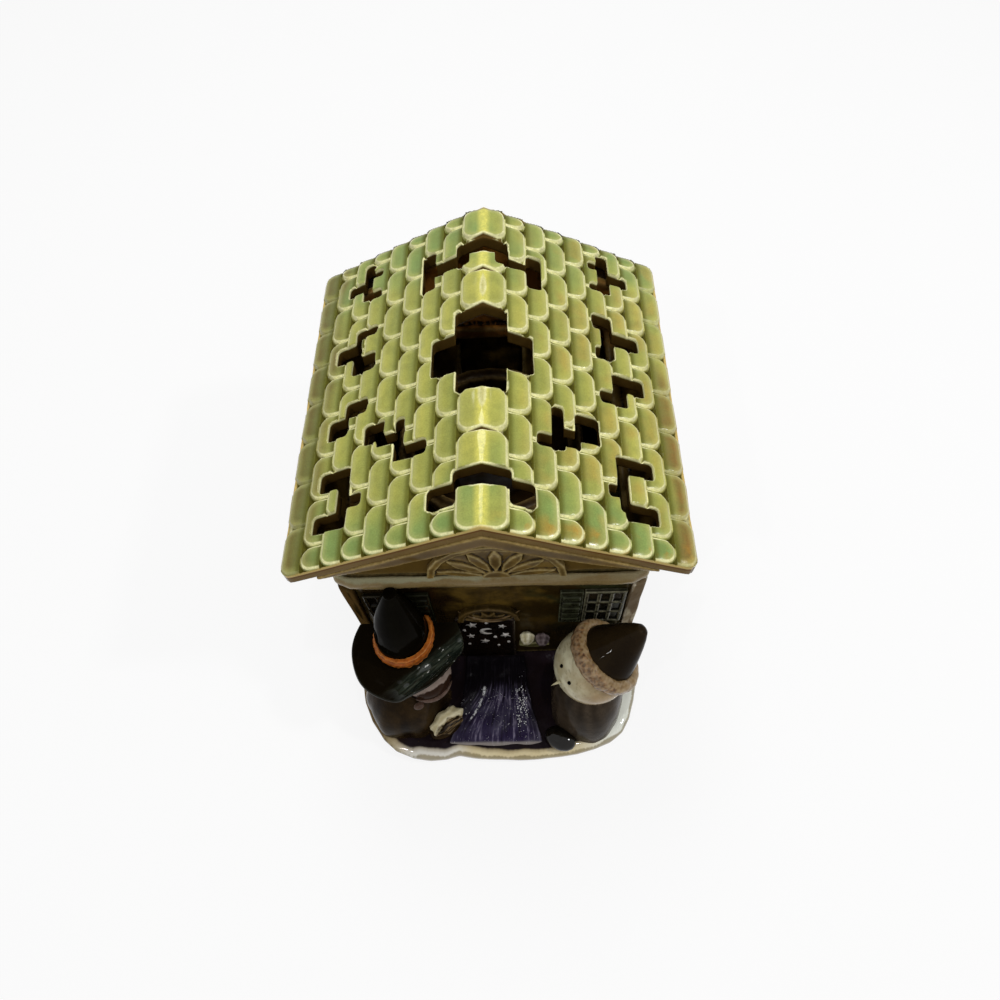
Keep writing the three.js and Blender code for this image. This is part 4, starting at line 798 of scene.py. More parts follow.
def mask_glaze():
    """The right figure's head: ivory, scratched and mottled, tan towards the right and darker low down,
    partly as painted shade
    """
    made, tree, shader = new_material("mask glaze")
    place = place_mm(tree)
    apart = axes(tree, place)
    mottle = ease(tree, grain(tree, place, 6.0), 0.3, 0.7)
    body = mixed(tree, mottle, paint(222, 218, 186), paint(184, 174, 138))
    tan = mixed(tree, grain(tree, place, 5.0), paint(178, 150, 106), paint(140, 116, 78))
    # Partly glaze colour and partly painted shade: tan towards the right and darker low down
    across = minus(tree, apart["X"], times(tree, apart["Y"], 0.4))
    across = plus(tree, across, drift(tree, grain(tree, place, 9.0), -5.0, 5.0))
    body = mixed(tree, ease(tree, across, 62.0, 82.0), body, tan)
    low = ease(tree, apart["Z"], 48.0, 38.0, 0.0, 0.6)
    body = mixed(tree, low, body, paint(124, 104, 68))
    thin = add(tree, "Mapping", {"Vector": place, "Rotation": (0.5, 0.3, 0.8), "Scale": (2.6, 0.35, 1.4)})
    scratches = ease(tree, grain(tree, thin.outputs[0], 2.2, 4.0, 0.7), 0.56, 0.66, 0.0, 0.5)
    colour = mixed(tree, scratches, body, paint(120, 104, 70))
    finish_glaze(tree, shader, colour, 0.14, {"Waves": 0.3, "Peel": 0.05}, 0.12, 0.2)
    return made


def metal_finish():
    """Thin pressed aluminium with faint drawing lines"""
    made, tree, shader = new_material("pressed aluminium")
    place = place_mm(tree, (1, 1, 0.1))
    lines = grain(tree, place, 0.5, 2.0)
    colour = mixed(tree, lines, paint(206, 208, 212), paint(226, 228, 230))
    fill(tree, shader.inputs["Base Color"], colour)
    fill(tree, shader.inputs["Roughness"], ease(tree, lines, 0.2, 0.8, 0.26, 0.42))
    shader.inputs["Metallic"].default_value = 1.0
    raise_surface(tree, shader, lines, 0.03 * MM)
    return made


def wax_finish():
    """White paraffin wax with a frosted bloom"""
    made, tree, shader = new_material("tealight wax")
    place = place_mm(tree)
    bloom = grain(tree, place, 3.0, 4.0)
    colour = mixed(tree, bloom, paint(238, 234, 222), paint(250, 248, 242))
    fill(tree, shader.inputs["Base Color"], colour)
    fill(tree, shader.inputs["Roughness"], ease(tree, bloom, 0.3, 0.7, 0.35, 0.55))
    shader.inputs["Subsurface Weight"].default_value = 0.2
    shader.inputs["Subsurface Radius"].default_value = (0.003, 0.0025, 0.002)
    raise_surface(tree, shader, bloom, 0.1 * MM)
    return made


def wick_finish():
    """Braided cotton, waxed"""
    made, tree, shader = new_material("cotton wick")
    place = place_mm(tree)
    sockets = {"Vector": place, "Scale": 1.6, "Distortion": 1.0}
    braid = add(tree, "TexWave", sockets, bands_direction="DIAGONAL").outputs["Fac"]
    colour = mixed(tree, braid, paint(206, 200, 186), paint(240, 236, 226))
    fill(tree, shader.inputs["Base Color"], colour)
    shader.inputs["Roughness"].default_value = 0.8
    raise_surface(tree, shader, braid, 0.15 * MM)
    return made


# Meshes

LOW, HIGH = (np.array(corner) / MM for corner in cad_box)


def rows_of(items, name, width, kind=np.float32):
    """One value of each item of a mesh, as rows"""
    flat = np.zeros(len(items) * width, kind)
    items.foreach_get(name, flat)
    return flat.reshape(-1, width)


def points_of(mesh):
    """The vertices in millimetres"""
    return rows_of(mesh.vertices, "co", 3).astype(float) / MM


def normals_of(mesh):
    """Which way the skin faces at each vertex"""
    return rows_of(mesh.vertices, "normal", 3).astype(float)


def edges_of(mesh):
    """The two vertices of each edge"""
    return rows_of(mesh.edges, "vertices", 2, np.int32)


def set_points(mesh, points):
    """Moves the vertices, kept inside the CAD box"""
    inside = np.clip(points, LOW, HIGH)
    mesh.vertices.foreach_set("co", (inside * MM).astype(np.float32).ravel())
    mesh.update()


def write_mark(mesh, name, values):
    """Stores a value at each vertex for the materials to read"""
    attribute = mesh.attributes.new(name, "FLOAT", "POINT")
    attribute.data.foreach_set("value", np.asarray(values, np.float32))


def uneven(points, wave, seed):
    """Smooth unevenness of about -1 to 1, with bumps about one wave apart"""
    dice = np.random.default_rng(seed)
    total = np.zeros(len(points))
    count = 9
    for _ in range(count):
        way = dice.normal(size=3)
        way /= np.linalg.norm(way)
        pace = math.tau / (wave * dice.uniform(0.7, 1.7))
        total += np.sin(points @ way * pace + dice.uniform(0, math.tau))
    return total / math.sqrt(count)


def smoothed(points, edges, passes):
    """Each point drawn towards its neighbours, a number of times"""
    count = len(points)
    ends = np.concatenate([edges, edges[:, ::-1]])
    valence = np.maximum(np.bincount(ends[:, 0], minlength=count), 1)[:, None]
    for _ in range(passes):
        columns = range(points.shape[1])
        near = np.stack([np.bincount(ends[:, 0], points[ends[:, 1], k], count) for k in columns], 1)
        points = 0.5 * points + 0.5 * near / valence
    return points


def mark_relief(mesh, passes=10, depth=0.16):
    """Writes how far each vertex stands out of its surroundings, or lies in a hollow"""
    points = points_of(mesh)
    around = smoothed(points, edges_of(mesh), passes)
    out = ((points - around) * normals_of(mesh)).sum(1)
    write_mark(mesh, "edge", np.clip(out / depth, 0, 1))
    write_mark(mesh, "hollow", np.clip(-out / depth, 0, 1))


def show(name, mesh, body, finish, slot, *nodes):
    """Puts a mesh in the scene as a piece, which stands for any CAD nodes that are named"""
    mesh.polygons.foreach_set("use_smooth", [True] * len(mesh.polygons))
    piece = bpy.data.objects.new(name, mesh)
    scene.collection.objects.link(piece)
    mesh.materials.clear()
    mesh.materials.append(finish)
    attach(piece, body)
    if nodes:
        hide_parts(*nodes)
    return piece


def clay_mesh(node, voxel, rounding):
    """A node's solid as a skin of small squares with rounded edges"""
    work = bmesh.new()
    work.from_mesh(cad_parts[node].data)
    bmesh.ops.remove_doubles(work, verts=work.verts, dist=1e-6)
    raw = bpy.data.meshes.new("raw")
    work.to_mesh(raw)
    work.free()
    holder = bpy.data.objects.new("raw", raw)
    scene.collection.objects.link(holder)
    remesh = holder.modifiers.new("skin", "REMESH")
    remesh.mode = "VOXEL"
    remesh.voxel_size = voxel * MM
    soften = holder.modifiers.new("soften", "SMOOTH")
    soften.factor = 0.5
    soften.iterations = rounding
    graph = bpy.context.evaluated_depsgraph_get()
    made = bpy.data.meshes.new_from_object(holder.evaluated_get(graph))
    bpy.data.objects.remove(holder)
    return made


PLINTH_SIDE_HEIGHT = 4.0
PLINTH_TOP_FROM = 5.0


def mark_inland(mesh, block=4000):
    """Writes how far each vertex on top is from the outline in plan, block by block to spare memory"""
    points = points_of(mesh)
    at_side = np.abs(points[:, 2] - PLINTH_SIDE_HEIGHT) < 0.4
    outline = points[at_side][::3, :2]
    inland = np.zeros(len(points))
    for first in range(0, len(points), block):
        arms = points[first:first + block, None, :2] - outline[None]
        inland[first:first + block] = np.sqrt((arms**2).sum(2).min(1))
    write_mark(mesh, "inland", np.clip(inland / INLAND_REACH, 0, 1) * (points[:, 2] > PLINTH_TOP_FROM))


def seed_of(name):
    """A steady seed for a node's own unevenness"""
    return sum(ord(letter) * (place + 1) for place, letter in enumerate(name))


def glazed(
    node, body, finish, slot, voxel=0.6, rounding=4, swell=0.12, wobble=0.15, wave=16.0, depth=0.16,
    shape=None,
):
    """A clay copy of one CAD node, slightly swollen and uneven, with its relief marked"""
    mesh = clay_mesh(node, voxel, rounding)
    points = points_of(mesh)
    lift = swell + wobble * uneven(points, wave, seed_of(node))
    points = points + normals_of(mesh) * lift[:, None]
    if shape:
        points = shape(mesh, points)
    set_points(mesh, points)
    mark_relief(mesh, depth=depth)
    return show(node + "_glazed", mesh, body, finish, slot, node)


# Roof

TILE_DOME = 0.55
TILE_DOME_WIDTH = 3.2
TILE_SINK = 0.25
TILE_TILT = 0.25
TILE_FACE = 1.4
NOTCH = 1.1
DEPTH_REACH = 8.0


def slab_top(x):
    """The height of the roof slab that the shingles lie on"""
    return EAVE_HEIGHT - TILE_HIGH_END + (ROOF_HALF_WIDTH - np.abs(x)) * math.tan(ROOF_SLOPE)


DICE_WEIGHTS = (12.9898, 78.233, 37.719)
DICE_STRETCH = 43758.5453


def dice_at(course, number, salt):
    """A steady random number from 0 to 1 for each tile"""
    by_course, by_number, by_salt = DICE_WEIGHTS
    value = np.sin(course * by_course + number * by_number + salt * by_salt) * DICE_STRETCH
    return value - np.floor(value)


def tile_places(x, y):
    """Each point's course, tile, place across and along the tile from -1 to 1, and inset from its edge"""
    reach = (np.abs(x) - RIDGE_CAP_HALF_WIDTH) / COURSE_PITCH
    course = np.clip(np.floor(reach) + 1, 0, COURSES)
    to_outer = RIDGE_CAP_HALF_WIDTH + course * COURSE_PITCH - np.abs(x)
    across = np.where(course > 0, 1 - 2 * to_outer / COURSE_PITCH, x / RIDGE_CAP_HALF_WIDTH)
    run = (y + ROOF_FRONT - (course % 2) * TILE_LENGTH / 2) / TILE_LENGTH
    number = np.floor(run)
    to_joint = (0.5 - np.abs(run - number - 0.5)) * TILE_LENGTH
    to_joint = np.minimum(to_joint, np.minimum(y + ROOF_FRONT, ROOF_BACK - y))
    over = np.hypot(np.maximum(TILE_CORNER - to_outer, 0), np.maximum(TILE_CORNER - to_joint, 0))
    return course * np.sign(x), number, across, 2 * (run - number) - 1, TILE_CORNER - over


def shape_shingles(mesh, points):
    """Domes and tilts each shingle, rounds its corners, and marks openings, lips and the outer edge"""
    x, y, z = points.T
    course, number, across, along, inset = tile_places(x, y)
    depth = slab_top(x) + TILE_FACE - z
    on_top = np.clip((1.3 - depth) / 0.5, 0, 1) * (normals_of(mesh)[:, 2] > 0.2)
    dome = TILE_DOME * (1 - (1 - np.clip(inset / TILE_DOME_WIDTH, 0, 1)) ** 2) - TILE_SINK
    notch = NOTCH * np.clip(0.2 - inset, 0, 1)
    tilt = TILE_TILT * (
        (dice_at(course, number, 1) - 0.5) * across + (dice_at(course, number, 2) - 0.5) * along
    )
    lift = on_top * (dome - notch + tilt)
    outward = np.stack([np.sign(x) * math.sin(ROOF_SLOPE), np.zeros(len(x)), np.full(len(x), 1.0)], 1)
    outward[:, 0] *= np.clip(np.abs(x) / 4, 0, 1)
    from_ends = np.minimum(y + ROOF_FRONT, ROOF_BACK - y)
    from_outline = np.minimum(ROOF_HALF_WIDTH - np.abs(x), from_ends)
    fascia = np.clip((0.9 - from_outline) / 0.5, 0, 1) * np.clip((depth - 0.4) / 0.6, 0, 1)
    inside = np.clip((depth - 1.1) / 0.5, 0, 1) * (1 - fascia)
    near = smoothed(inside[:, None], edges_of(mesh), 12)[:, 0]
    write_mark(mesh, "depth", np.clip(depth / DEPTH_REACH, 0, 1))
    write_mark(mesh, "fascia", fascia)
    write_mark(mesh, "inside", inside)
    write_mark(mesh, "lip", np.clip(near * 10 - 0.4, 0, 1) * np.clip((1.4 - depth) / 0.4, 0, 1))
    return points + outward * lift[:, None]


# Smooth forms of the figures, on the centres and sizes that the CAD gives them

WITCH_ROBE_HEIGHT = 36.0
WITCH_ROBE_HALF_WIDTH = 18.5
WITCH_ROBE_HALF_DEPTH = 19.0
WITCH_ROBE_LEAN = (8.71, 3.42)
GHOST_ROBE_HEIGHT = 34.0
GHOST_ROBE_HALF_WIDTH = 15.5
GHOST_ROBE_HALF_DEPTH = 17.5
BRIM_RADIUS = 23.0
BRIM_THICKNESS = 2.0
BRIM_FOLD = 13.0
BRIM_FOLD_WIDTH = 6.0
BRIM_FOLD_ANGLE = math.radians(40)
BRIM_BACK = 9.9
BRIM_WAVE = 0.45
BRIM_RIPPLE = 0.16
BRIM_STEPS = 168
CROWN_FOOT = WITCH + (4.4, 11.5, 44.0)
CROWN_HEIGHT = 35.0
CROWN_RADIUS = 10.8
BAND_FOOT = 54.05
BAND_HEIGHT = 3.8
BAND_STRETCH = 1.35
BAND_RAISE = 0.9
BAND_TILT = 0.09
HAT_LENGTH = 22.5
HAT_RADIUS = 12.8
HAT_STATIONS = (0, 0.17, 0.34, 0.51, 0.68, 0.82, 0.94, 1)
HAT_FULLNESS = (1, 0.91, 0.77, 0.63, 0.48, 0.34, 0.19, 0)
RUFF_RADIUS = 13.2
RUFF_THICKNESS = 2.85
CUFF_DEPTH = 3.4
COLLAR_RADIUS = 10.8
COLLAR_DROP = 1.9


def eased(value, low, high):
    """A smooth step from 0 at low to 1 at high"""
    share = np.clip((value - low) / (high - low), 0, 1)
    return share * share * (3 - 2 * share)


def drawn_to(points, ideal, reach=1.8):
    """Moves points onto an ideal surface where it is near, and leaves cut faces alone"""
    gap = np.linalg.norm(ideal - points, axis=1)
    return points + (ideal - points) * eased(gap, reach, reach * 0.5)[:, None]


def ball_shape(centre, radius):
    """Draws points onto a ball"""
    def shape(mesh, points):
        arm = points - centre
        return drawn_to(points, centre + arm * (radius / np.linalg.norm(arm, axis=1))[:, None])
    return shape


def oval_shape(foot, height, section, ripple, reach=1.8):
    """Level oval sections: section gives centre and half sizes at a share of the height"""
    def shape(mesh, points):
        up = np.clip((points[:, 2] - foot[2]) / height, 0, 1)
        centre_x, centre_y, half_width, half_depth = section(up)
        across = (points[:, 0] - foot[0] - centre_x) / half_width
        along = (points[:, 1] - foot[1] - centre_y) / half_depth
        angle = np.arctan2(along, across)
        swell = 1 + ripple(angle, up)
        ideal = points.copy()
        ideal[:, 0] = foot[0] + centre_x + half_width * swell * np.cos(angle)
        ideal[:, 1] = foot[1] + centre_y + half_depth * swell * np.sin(angle)
        return drawn_to(points, ideal, reach)
    return shape


def witch_robe_section(up):
    """Narrower towards the top, and leaning to the right and back"""
    lean_x, lean_y = WITCH_ROBE_LEAN
    size = 1 - 0.62 * up**2
    return lean_x * up**2, lean_y * up**2, WITCH_ROBE_HALF_WIDTH * size, WITCH_ROBE_HALF_DEPTH * size


def ghost_robe_section(up):
    """Full low down and domed at the top"""
    size = np.sqrt(1 - (0.86 * up) ** 2.6)
    return 0 * up, 3 * up, GHOST_ROBE_HALF_WIDTH * size, GHOST_ROBE_HALF_DEPTH * size


def witch_folds(angle, up):
    """Six soft folds that die out upwards, with finer ones between"""
    return (1 - up) * (0.04 * np.cos(6 * angle) + 0.006 * np.cos(15 * angle + 5 * up))


def ghost_folds(angle, up):
    """Five shallow folds at the hem, and a fine ripple all the way up"""
    return 0.02 * (1 - up) * np.cos(5 * angle) + 0.006 * np.cos(13 * angle + 4 * up)


def crown_section(grow):
    """The pointed crown's round sections, or a ring that stands out of it by grow"""
    def section(up):
        radius = CROWN_RADIUS * (1 - 0.76 * up**1.9) + grow
        return -1.0 * up, 7.0 * up, radius, radius
    return section


def crown_swell(angle, up):
    """Fuller at the left front, as thrown clay leans"""
    lean = np.clip(np.cos(angle + 2.7), 0, 1)
    return 0.13 * np.sin(np.pi * up) * lean + 0.006 * np.cos(3 * angle + 6 * up)


def band_shape(mesh, points):
    """Thicker than a plain ring, a little higher, and tilted down to the left"""
    middle = BAND_FOOT + BAND_HEIGHT / 2
    from_middle = (points[:, 2] - middle) * BAND_STRETCH
    points = points.copy()
    points[:, 2] = middle + BAND_RAISE + from_middle + BAND_TILT * (points[:, 0] - CROWN_FOOT[0])
    share = np.clip(from_middle / (BAND_HEIGHT * BAND_STRETCH) + 0.5, 0, 1)
    bulge = np.sqrt(np.sin(np.pi * np.clip(share, 0.02, 0.98)))

    def ripple(angle, up):
        return (2.0 * bulge - 1.5 + 0.05 * np.cos(31 * angle) + 0.05 * np.cos(17 * angle)) / 11.0

    return oval_shape(CROWN_FOOT, CROWN_HEIGHT, crown_section(1.5), ripple, 1.3)(mesh, points)


def axis_parts(points, seat, axis):
    """How far along an axis each point is, and its arm away from the axis"""
    arm = points - seat
    along = arm @ axis
    return along, arm - along[:, None] * axis


def ghost_hat_shape(mesh, points):
    """A slim cone with a soft tip, on its slanted axis"""
    along, arm = axis_parts(points, HAT_SEAT, HAT_AXIS)
    share = along / HAT_LENGTH
    radius = HAT_RADIUS * np.interp(share, HAT_STATIONS, HAT_FULLNESS)
    size = np.maximum(np.linalg.norm(arm, axis=1), 1e-6)
    ideal = HAT_SEAT + along[:, None] * HAT_AXIS + arm * (radius / size)[:, None]
    moved = drawn_to(points, ideal, 1.5)
    return np.where((share > 0.02)[:, None], moved, points)


def ruff_shape(mesh, points):
    """A lumpy ring that spreads over the head on the side of the face"""
    _, arm = axis_parts(points, HAT_SEAT, HAT_AXIS)
    hub = HAT_SEAT + arm * (RUFF_RADIUS / np.linalg.norm(arm, axis=1))[:, None]
    away = points - hub
    tuft = RUFF_THICKNESS + 0.16 * uneven(points, 3.4, 11) + 0.05 * uneven(points, 1.5, 12)
    ideal = hub + away * (tuft / np.linalg.norm(away, axis=1))[:, None]
    moved = drawn_to(points, ideal, 1.6)
    down, _ = axis_parts(moved, HAT_SEAT, HAT_AXIS)
    facing = arm @ np.array((-0.85, -0.45, 0.2)) / np.linalg.norm(arm, axis=1)
    spread = np.minimum(down, 0) * eased(facing, -0.4, 0.4) * 0.6
    return moved + spread[:, None] * HAT_AXIS


def cuff_shape(mesh, points):
    """Hollows the sleeve's end on the side away from the trim"""
    x, y, z = (points - CUFF).T
    u = x * math.cos(CUFF_TURN) + y * math.sin(CUFF_TURN)
    v = y * math.cos(CUFF_TURN) - x * math.sin(CUFF_TURN)
    past = -(v + CUFF_BOW * u**2)
    sunk = CUFF_DEPTH * eased(past, -0.2, 1.6) * eased(z, -3.5, -0.5)
    moved = points.copy()
    moved[:, 2] -= sunk
    return moved


def skin_of(name, points, faces):
    """A closed mesh from points in millimetres, with its faces turned outwards"""
    mesh = bpy.data.meshes.new(name)
    mesh.from_pydata([tuple(float(c) * MM for c in point) for point in points], [], faces)
    work = bmesh.new()
    work.from_mesh(mesh)
    bmesh.ops.remove_doubles(work, verts=work.verts, dist=1e-7)
    bmesh.ops.recalc_face_normals(work, faces=work.faces)
    work.to_mesh(mesh)
    work.free()
    mesh.update()
    return mesh


def turned_faces(steps, rings):
    """The squares of a surface turned round an axis, whose points run ring by ring within each step"""
    faces = []
    for step in range(steps):
        following = (step + 1) % steps
        for ring in range(rings - 1):
            a = step * rings + ring
            b = following * rings + ring
            faces.append((a, b, b + 1, a + 1))
    return faces


def brim_profile():
    """Shares of the brim's reach and thickness: out along its underside, round its edge and back on top"""
    edge = [(1 - 0.012 * math.sin(turn), 0.5 - 0.5 * math.cos(turn)) for turn in np.linspace(0, math.pi, 7)]
    shares = list(np.linspace(0.02, 0.985, 26))
    profile = [(share, 0.0) for share in shares]
    profile += [(share + 0.03 * math.sin(math.pi * level), level) for share, level in edge]
    profile += [(share, 1.0) for share in reversed(shares)]
    return profile


def witch_brim():
    """A round, wavy brim whose front is turned up, cut straight where it meets the house"""
    profile = brim_profile()
    points = []
    for step in range(BRIM_STEPS):
        angle = math.tau * step / BRIM_STEPS
        reach = BRIM_RADIUS * (1 + 0.012 * math.cos(3 * angle + 1) + 0.006 * math.cos(8 * angle)) - 0.5
        if math.sin(angle) > 0:
            reach = min(reach, BRIM_BACK / math.sin(angle))
        for share, level in profile:
            points.append((reach * share * math.cos(angle), reach * share * math.sin(angle), level))
    x, y, level = np.array(points).T
    ahead_x, ahead_y = WITCH_FACING
    flat = np.stack([x, y, 0 * x], 1)
    beyond = x * ahead_x + y * ahead_y - BRIM_FOLD
    wave = BRIM_WAVE * uneven(flat, 17.0, 4) * np.clip(np.hypot(x, y) / BRIM_RADIUS, 0, 1) ** 2
    wave += BRIM_RIPPLE * uneven(flat, 5.5, 5) * eased(beyond, -6, -2)
    z = level * BRIM_THICKNESS + wave
    over = np.maximum(beyond, 0)
    bend = BRIM_FOLD_ANGLE * np.clip(beyond / BRIM_FOLD_WIDTH, 0, 1)
    pull = over * (np.cos(bend) - 1)
    placed = np.stack([x + ahead_x * pull, y + ahead_y * pull, z + over * np.sin(bend)], 1)
    rings = len(profile)
    faces = turned_faces(BRIM_STEPS, rings)
    faces.append([step * rings for step in reversed(range(BRIM_STEPS))])
    faces.append([step * rings + rings - 1 for step in range(BRIM_STEPS)])
    return skin_of("witch_hat_brim_clay", placed + BRIM_CENTRE, faces)


def tube(name, hubs, radii, sides=20):
    """A rounded bead through a row of points, with its own radius at each"""
    hubs = np.array(hubs, float)
    points = []
    faces = []
    for index, (hub, radius) in enumerate(zip(hubs, radii)):
        ahead = hubs[min(index + 1, len(hubs) - 1)] - hubs[max(index - 1, 0)]
        ahead /= np.linalg.norm(ahead)
        side = np.cross(ahead, (0, 0, 1))
        side /= np.linalg.norm(side)
        rise = np.cross(side, ahead)
        for step in range(sides):
            angle = math.tau * step / sides
            points.append(hub + radius * (side * math.cos(angle) + rise * math.sin(angle)))
    for index in range(len(hubs) - 1):
        for step in range(sides):
            a = index * sides + step
            b = index * sides + (step + 1) % sides
            faces.append((a, b, b + sides, a + sides))
    faces.append(list(range(sides)))
    faces.append([(len(hubs) - 1) * sides + step for step in reversed(range(sides))])
    return skin_of(name, points, faces)


def bead(name, centre, sizes, turn=0.0, rise=16, sides=32):
    """A small rounded lump with its own half sizes, turned about Z"""
    rows = []
    for row in range(rise + 1):
        angle = math.pi * row / rise
        rows.append((math.sin(angle), -math.cos(angle)))
    points = []
    for step in range(sides):
        angle = math.tau * step / sides
        for out, up in rows:
            x = sizes[0] * out * math.cos(angle)
            y = sizes[1] * out * math.sin(angle)
            points.append((
                centre[0] + x * math.cos(turn) - y * math.sin(turn),
                centre[1] + x * math.sin(turn) + y * math.cos(turn),
                centre[2] + sizes[2] * up,
            ))
    return skin_of(name, points, turned_faces(sides, len(rows)))


def collar():
    """The pale edge of the left figure's shawl, just under the head"""
    hubs = []
    radii = []
    for share in np.linspace(0, 1, 25):
        angle = math.radians(-112 + 98 * share)
        arm = (COLLAR_RADIUS * math.cos(angle), COLLAR_RADIUS * math.sin(angle), -COLLAR_DROP)
        hubs.append(WITCH_HEAD + arm)
        radii.append(0.2 + 0.7 * math.sin(math.pi * share) ** 0.7)
    return tube("witch_collar", hubs, radii)


def wall_front(z, depth):
    """The y of the front wall's face at a height, moved out by a depth"""
    down = (HOUSE_RIM - z) / (HOUSE_RIM - FOOT)
    return -(HOUSE_HALF_DEPTH + FOOT_FLARE * down**2 + depth)


def star_outline(x, z, size, points=5, waist=0.42, turn=0.0):
    """A star, drawn a little taller than wide as a brush on an upright door does it"""
    outline = []
    for step in range(points * 2):
        reach = size * (1 if step % 2 == 0 else waist)
        angle = math.pi / 2 + turn + math.pi * step / points
        outline.append((x + reach * math.cos(angle), z + 1.25 * reach * math.sin(angle)))
    return outline


def moon_outline(x, z, size):
    """A crescent that opens to the right"""
    outer = [(x + size * math.cos(a), z + size * math.sin(a)) for a in np.linspace(1.0, 5.3, 15)]
    bite = size * 0.78
    middle = x + size * 0.42
    inner = [(middle + bite * math.cos(a), z + bite * math.sin(a)) for a in np.linspace(5.1, 1.2, 13)]
    return outer + inner


def swag(name, left, right, height, sag, out, radius):
    """A thin ridge across the canopy over the door, bowed forward and down in its middle"""
    hubs = []
    radii = []
    for share in np.linspace(-1, 1, 31):
        x = (left + right) / 2 + share * (right - left) / 2
        z = height - sag * (1 - share**2)
        hubs.append((x, wall_front(z, 1.0 + out * (1 - share**2)), z))
        radii.append(0.12 + radius * (1 - share**4))
    return tube(name, hubs, radii)


SLAB_THICKNESS = 5.0
SLAB_DROP = SLAB_THICKNESS / math.cos(ROOF_SLOPE)
SOFFIT_INNER = 43.0
SOFFIT_OUTER = 63.0
SOFFIT_FRONT = HOUSE_HALF_DEPTH + 0.4
SOFFIT_BACK = 67.8
SOFFIT_GAP = 0.5
SOFFIT_DROP = 2.5


def shade_soffit_back():
    """A dark strip under the roof's back eave that stands for the shade seen through the openings there, so
    that they don't show the floor
    """
    points = []
    faces = []
    for side in (-1, 1):
        a = len(points)
        for x in (SOFFIT_INNER, SOFFIT_OUTER):
            underside = slab_top(x) - SLAB_DROP
            for y in (SOFFIT_FRONT, SOFFIT_BACK):
                points += [(side * x, y, underside - SOFFIT_GAP), (side * x, y, underside - SOFFIT_DROP)]
        faces += [
            (a, a + 2, a + 6, a + 4), (a + 1, a + 5, a + 7, a + 3), (a, a + 1, a + 3, a + 2),
            (a + 4, a + 6, a + 7, a + 5), (a, a + 4, a + 5, a + 1), (a + 2, a + 3, a + 7, a + 6),
        ]
    return skin_of("shade_soffit_back", points, faces)


DOOR_FACE = 1.92
PAINT_THICKNESS = 0.22
PAINT_SUNK = 0.3


def door_paint():
    """Small stars, dots and a crescent in white on the front door"""
    outlines = [
        star_outline(-10.2, 44.3, 2.5, turn=0.2), star_outline(2.6, 42.6, 2.0, turn=-0.3),
        moon_outline(-4.2, 37.2, 3.1), star_outline(3.8, 32.6, 2.3, turn=0.5),
        star_outline(-11.4, 32.4, 2.0, turn=0.1), star_outline(-5.6, 26.2, 2.1, turn=-0.2),
    ]
    dots = ((-13.8, 38.8), (-3.9, 46.4), (5.4, 47.4), (-0.8, 30.6), (5.0, 25.0), (-12.6, 23.6), (0.4, 21.4))
    for x, z in dots:
        outlines.append(star_outline(x, z, 0.75, points=7, waist=0.92))
    points = []
    faces = []
    for outline in outlines:
        first = len(points)
        count = len(outline)
        for lift in (PAINT_SUNK, -PAINT_THICKNESS):
            for x, z in outline:
                points.append((x, wall_front(z, DOOR_FACE) + lift, z))
        faces.append(list(range(first, first + count)))
        faces.append([first + count + step for step in reversed(range(count))])
        for step in range(count):
            following = (step + 1) % count
            faces.append((
                first + step, first + following, first + count + following, first + count + step,
            ))
    return skin_of("door_stars", points, faces)


# Turned pieces of the tealight


def lathe(name, profile, steps=96, ribs=0, rib_depth=0.0):
    """A closed skin of revolution about Z through the origin, with optional ribs round it"""
    profile = np.array(profile, float)
    points = []
    for step in range(steps):
        angle = math.tau * step / steps
        reach = 1 + (rib_depth / max(profile[:, 0].max(), 1) * math.cos(ribs * angle) if ribs else 0)
        for radius, height in profile:
            points.append((radius * reach * math.cos(angle), radius * reach * math.sin(angle), height))
    return skin_of(name, points, turned_faces(steps, len(profile)))


TEALIGHT_BASE = 12.6
CUP_RADIUS = 19.0
CUP_HEIGHT = 16.0
CUP_WALL = 0.4
WAX_TOP = 12.0


def tealight_cup():
    """A pressed cup with a rounded foot, a rolled rim and a crimped side"""
    r = CUP_RADIUS - 0.3
    base = TEALIGHT_BASE
    top = base + CUP_HEIGHT
    w = CUP_WALL
    profile = [
        (0, base + 0.4), (r - 3.0, base + 0.4), (r - 2.2, base + 0.05), (r - 1.2, base + 0.1),
        (r - 0.4, base + 0.5), (r, base + 1.2), (r, top - 1.1), (r + 0.25, top - 0.5),
        (r + 0.2, top - 0.1), (r - 0.1, top), (r - w, top - 0.3), (r - w, base + 1.3),
        (r - w - 0.6, base + 0.8), (0, base + 0.7),
    ]
    return lathe("tealight_cup_metal", profile, 144, 36, 0.12)


def tealight_wax():
    """The wax, sunk a little in its middle, with a small rise round the wick"""
    r = CUP_RADIUS - 0.9
    base = TEALIGHT_BASE + 0.9
    top = TEALIGHT_BASE + WAX_TOP
    profile = [
        (0, base), (r - 0.8, base), (r, base + 0.8), (r, top), (r - 0.5, top - 0.35), (r - 1.6, top - 0.7),
        (r * 0.55, top - 0.8), (r * 0.25, top - 0.72), (1.6, top - 0.5), (1.0, top - 0.3), (0, top - 0.25),
    ]
    return lathe("tealight_wax_block", profile)


# Pieces


def make_ground():
    """The plinth and the garden path on it"""
    plinth = glazed(
        "plinth", "base", plinth_glaze(), "ivory_glaze",
        voxel=0.7, rounding=6, wobble=0.3, wave=22, swell=0,
    )
    mark_inland(plinth.data)
    glazed("garden_path", "base", path_glaze(), "violet_glaze", voxel=0.45, wobble=0.25, wave=9)


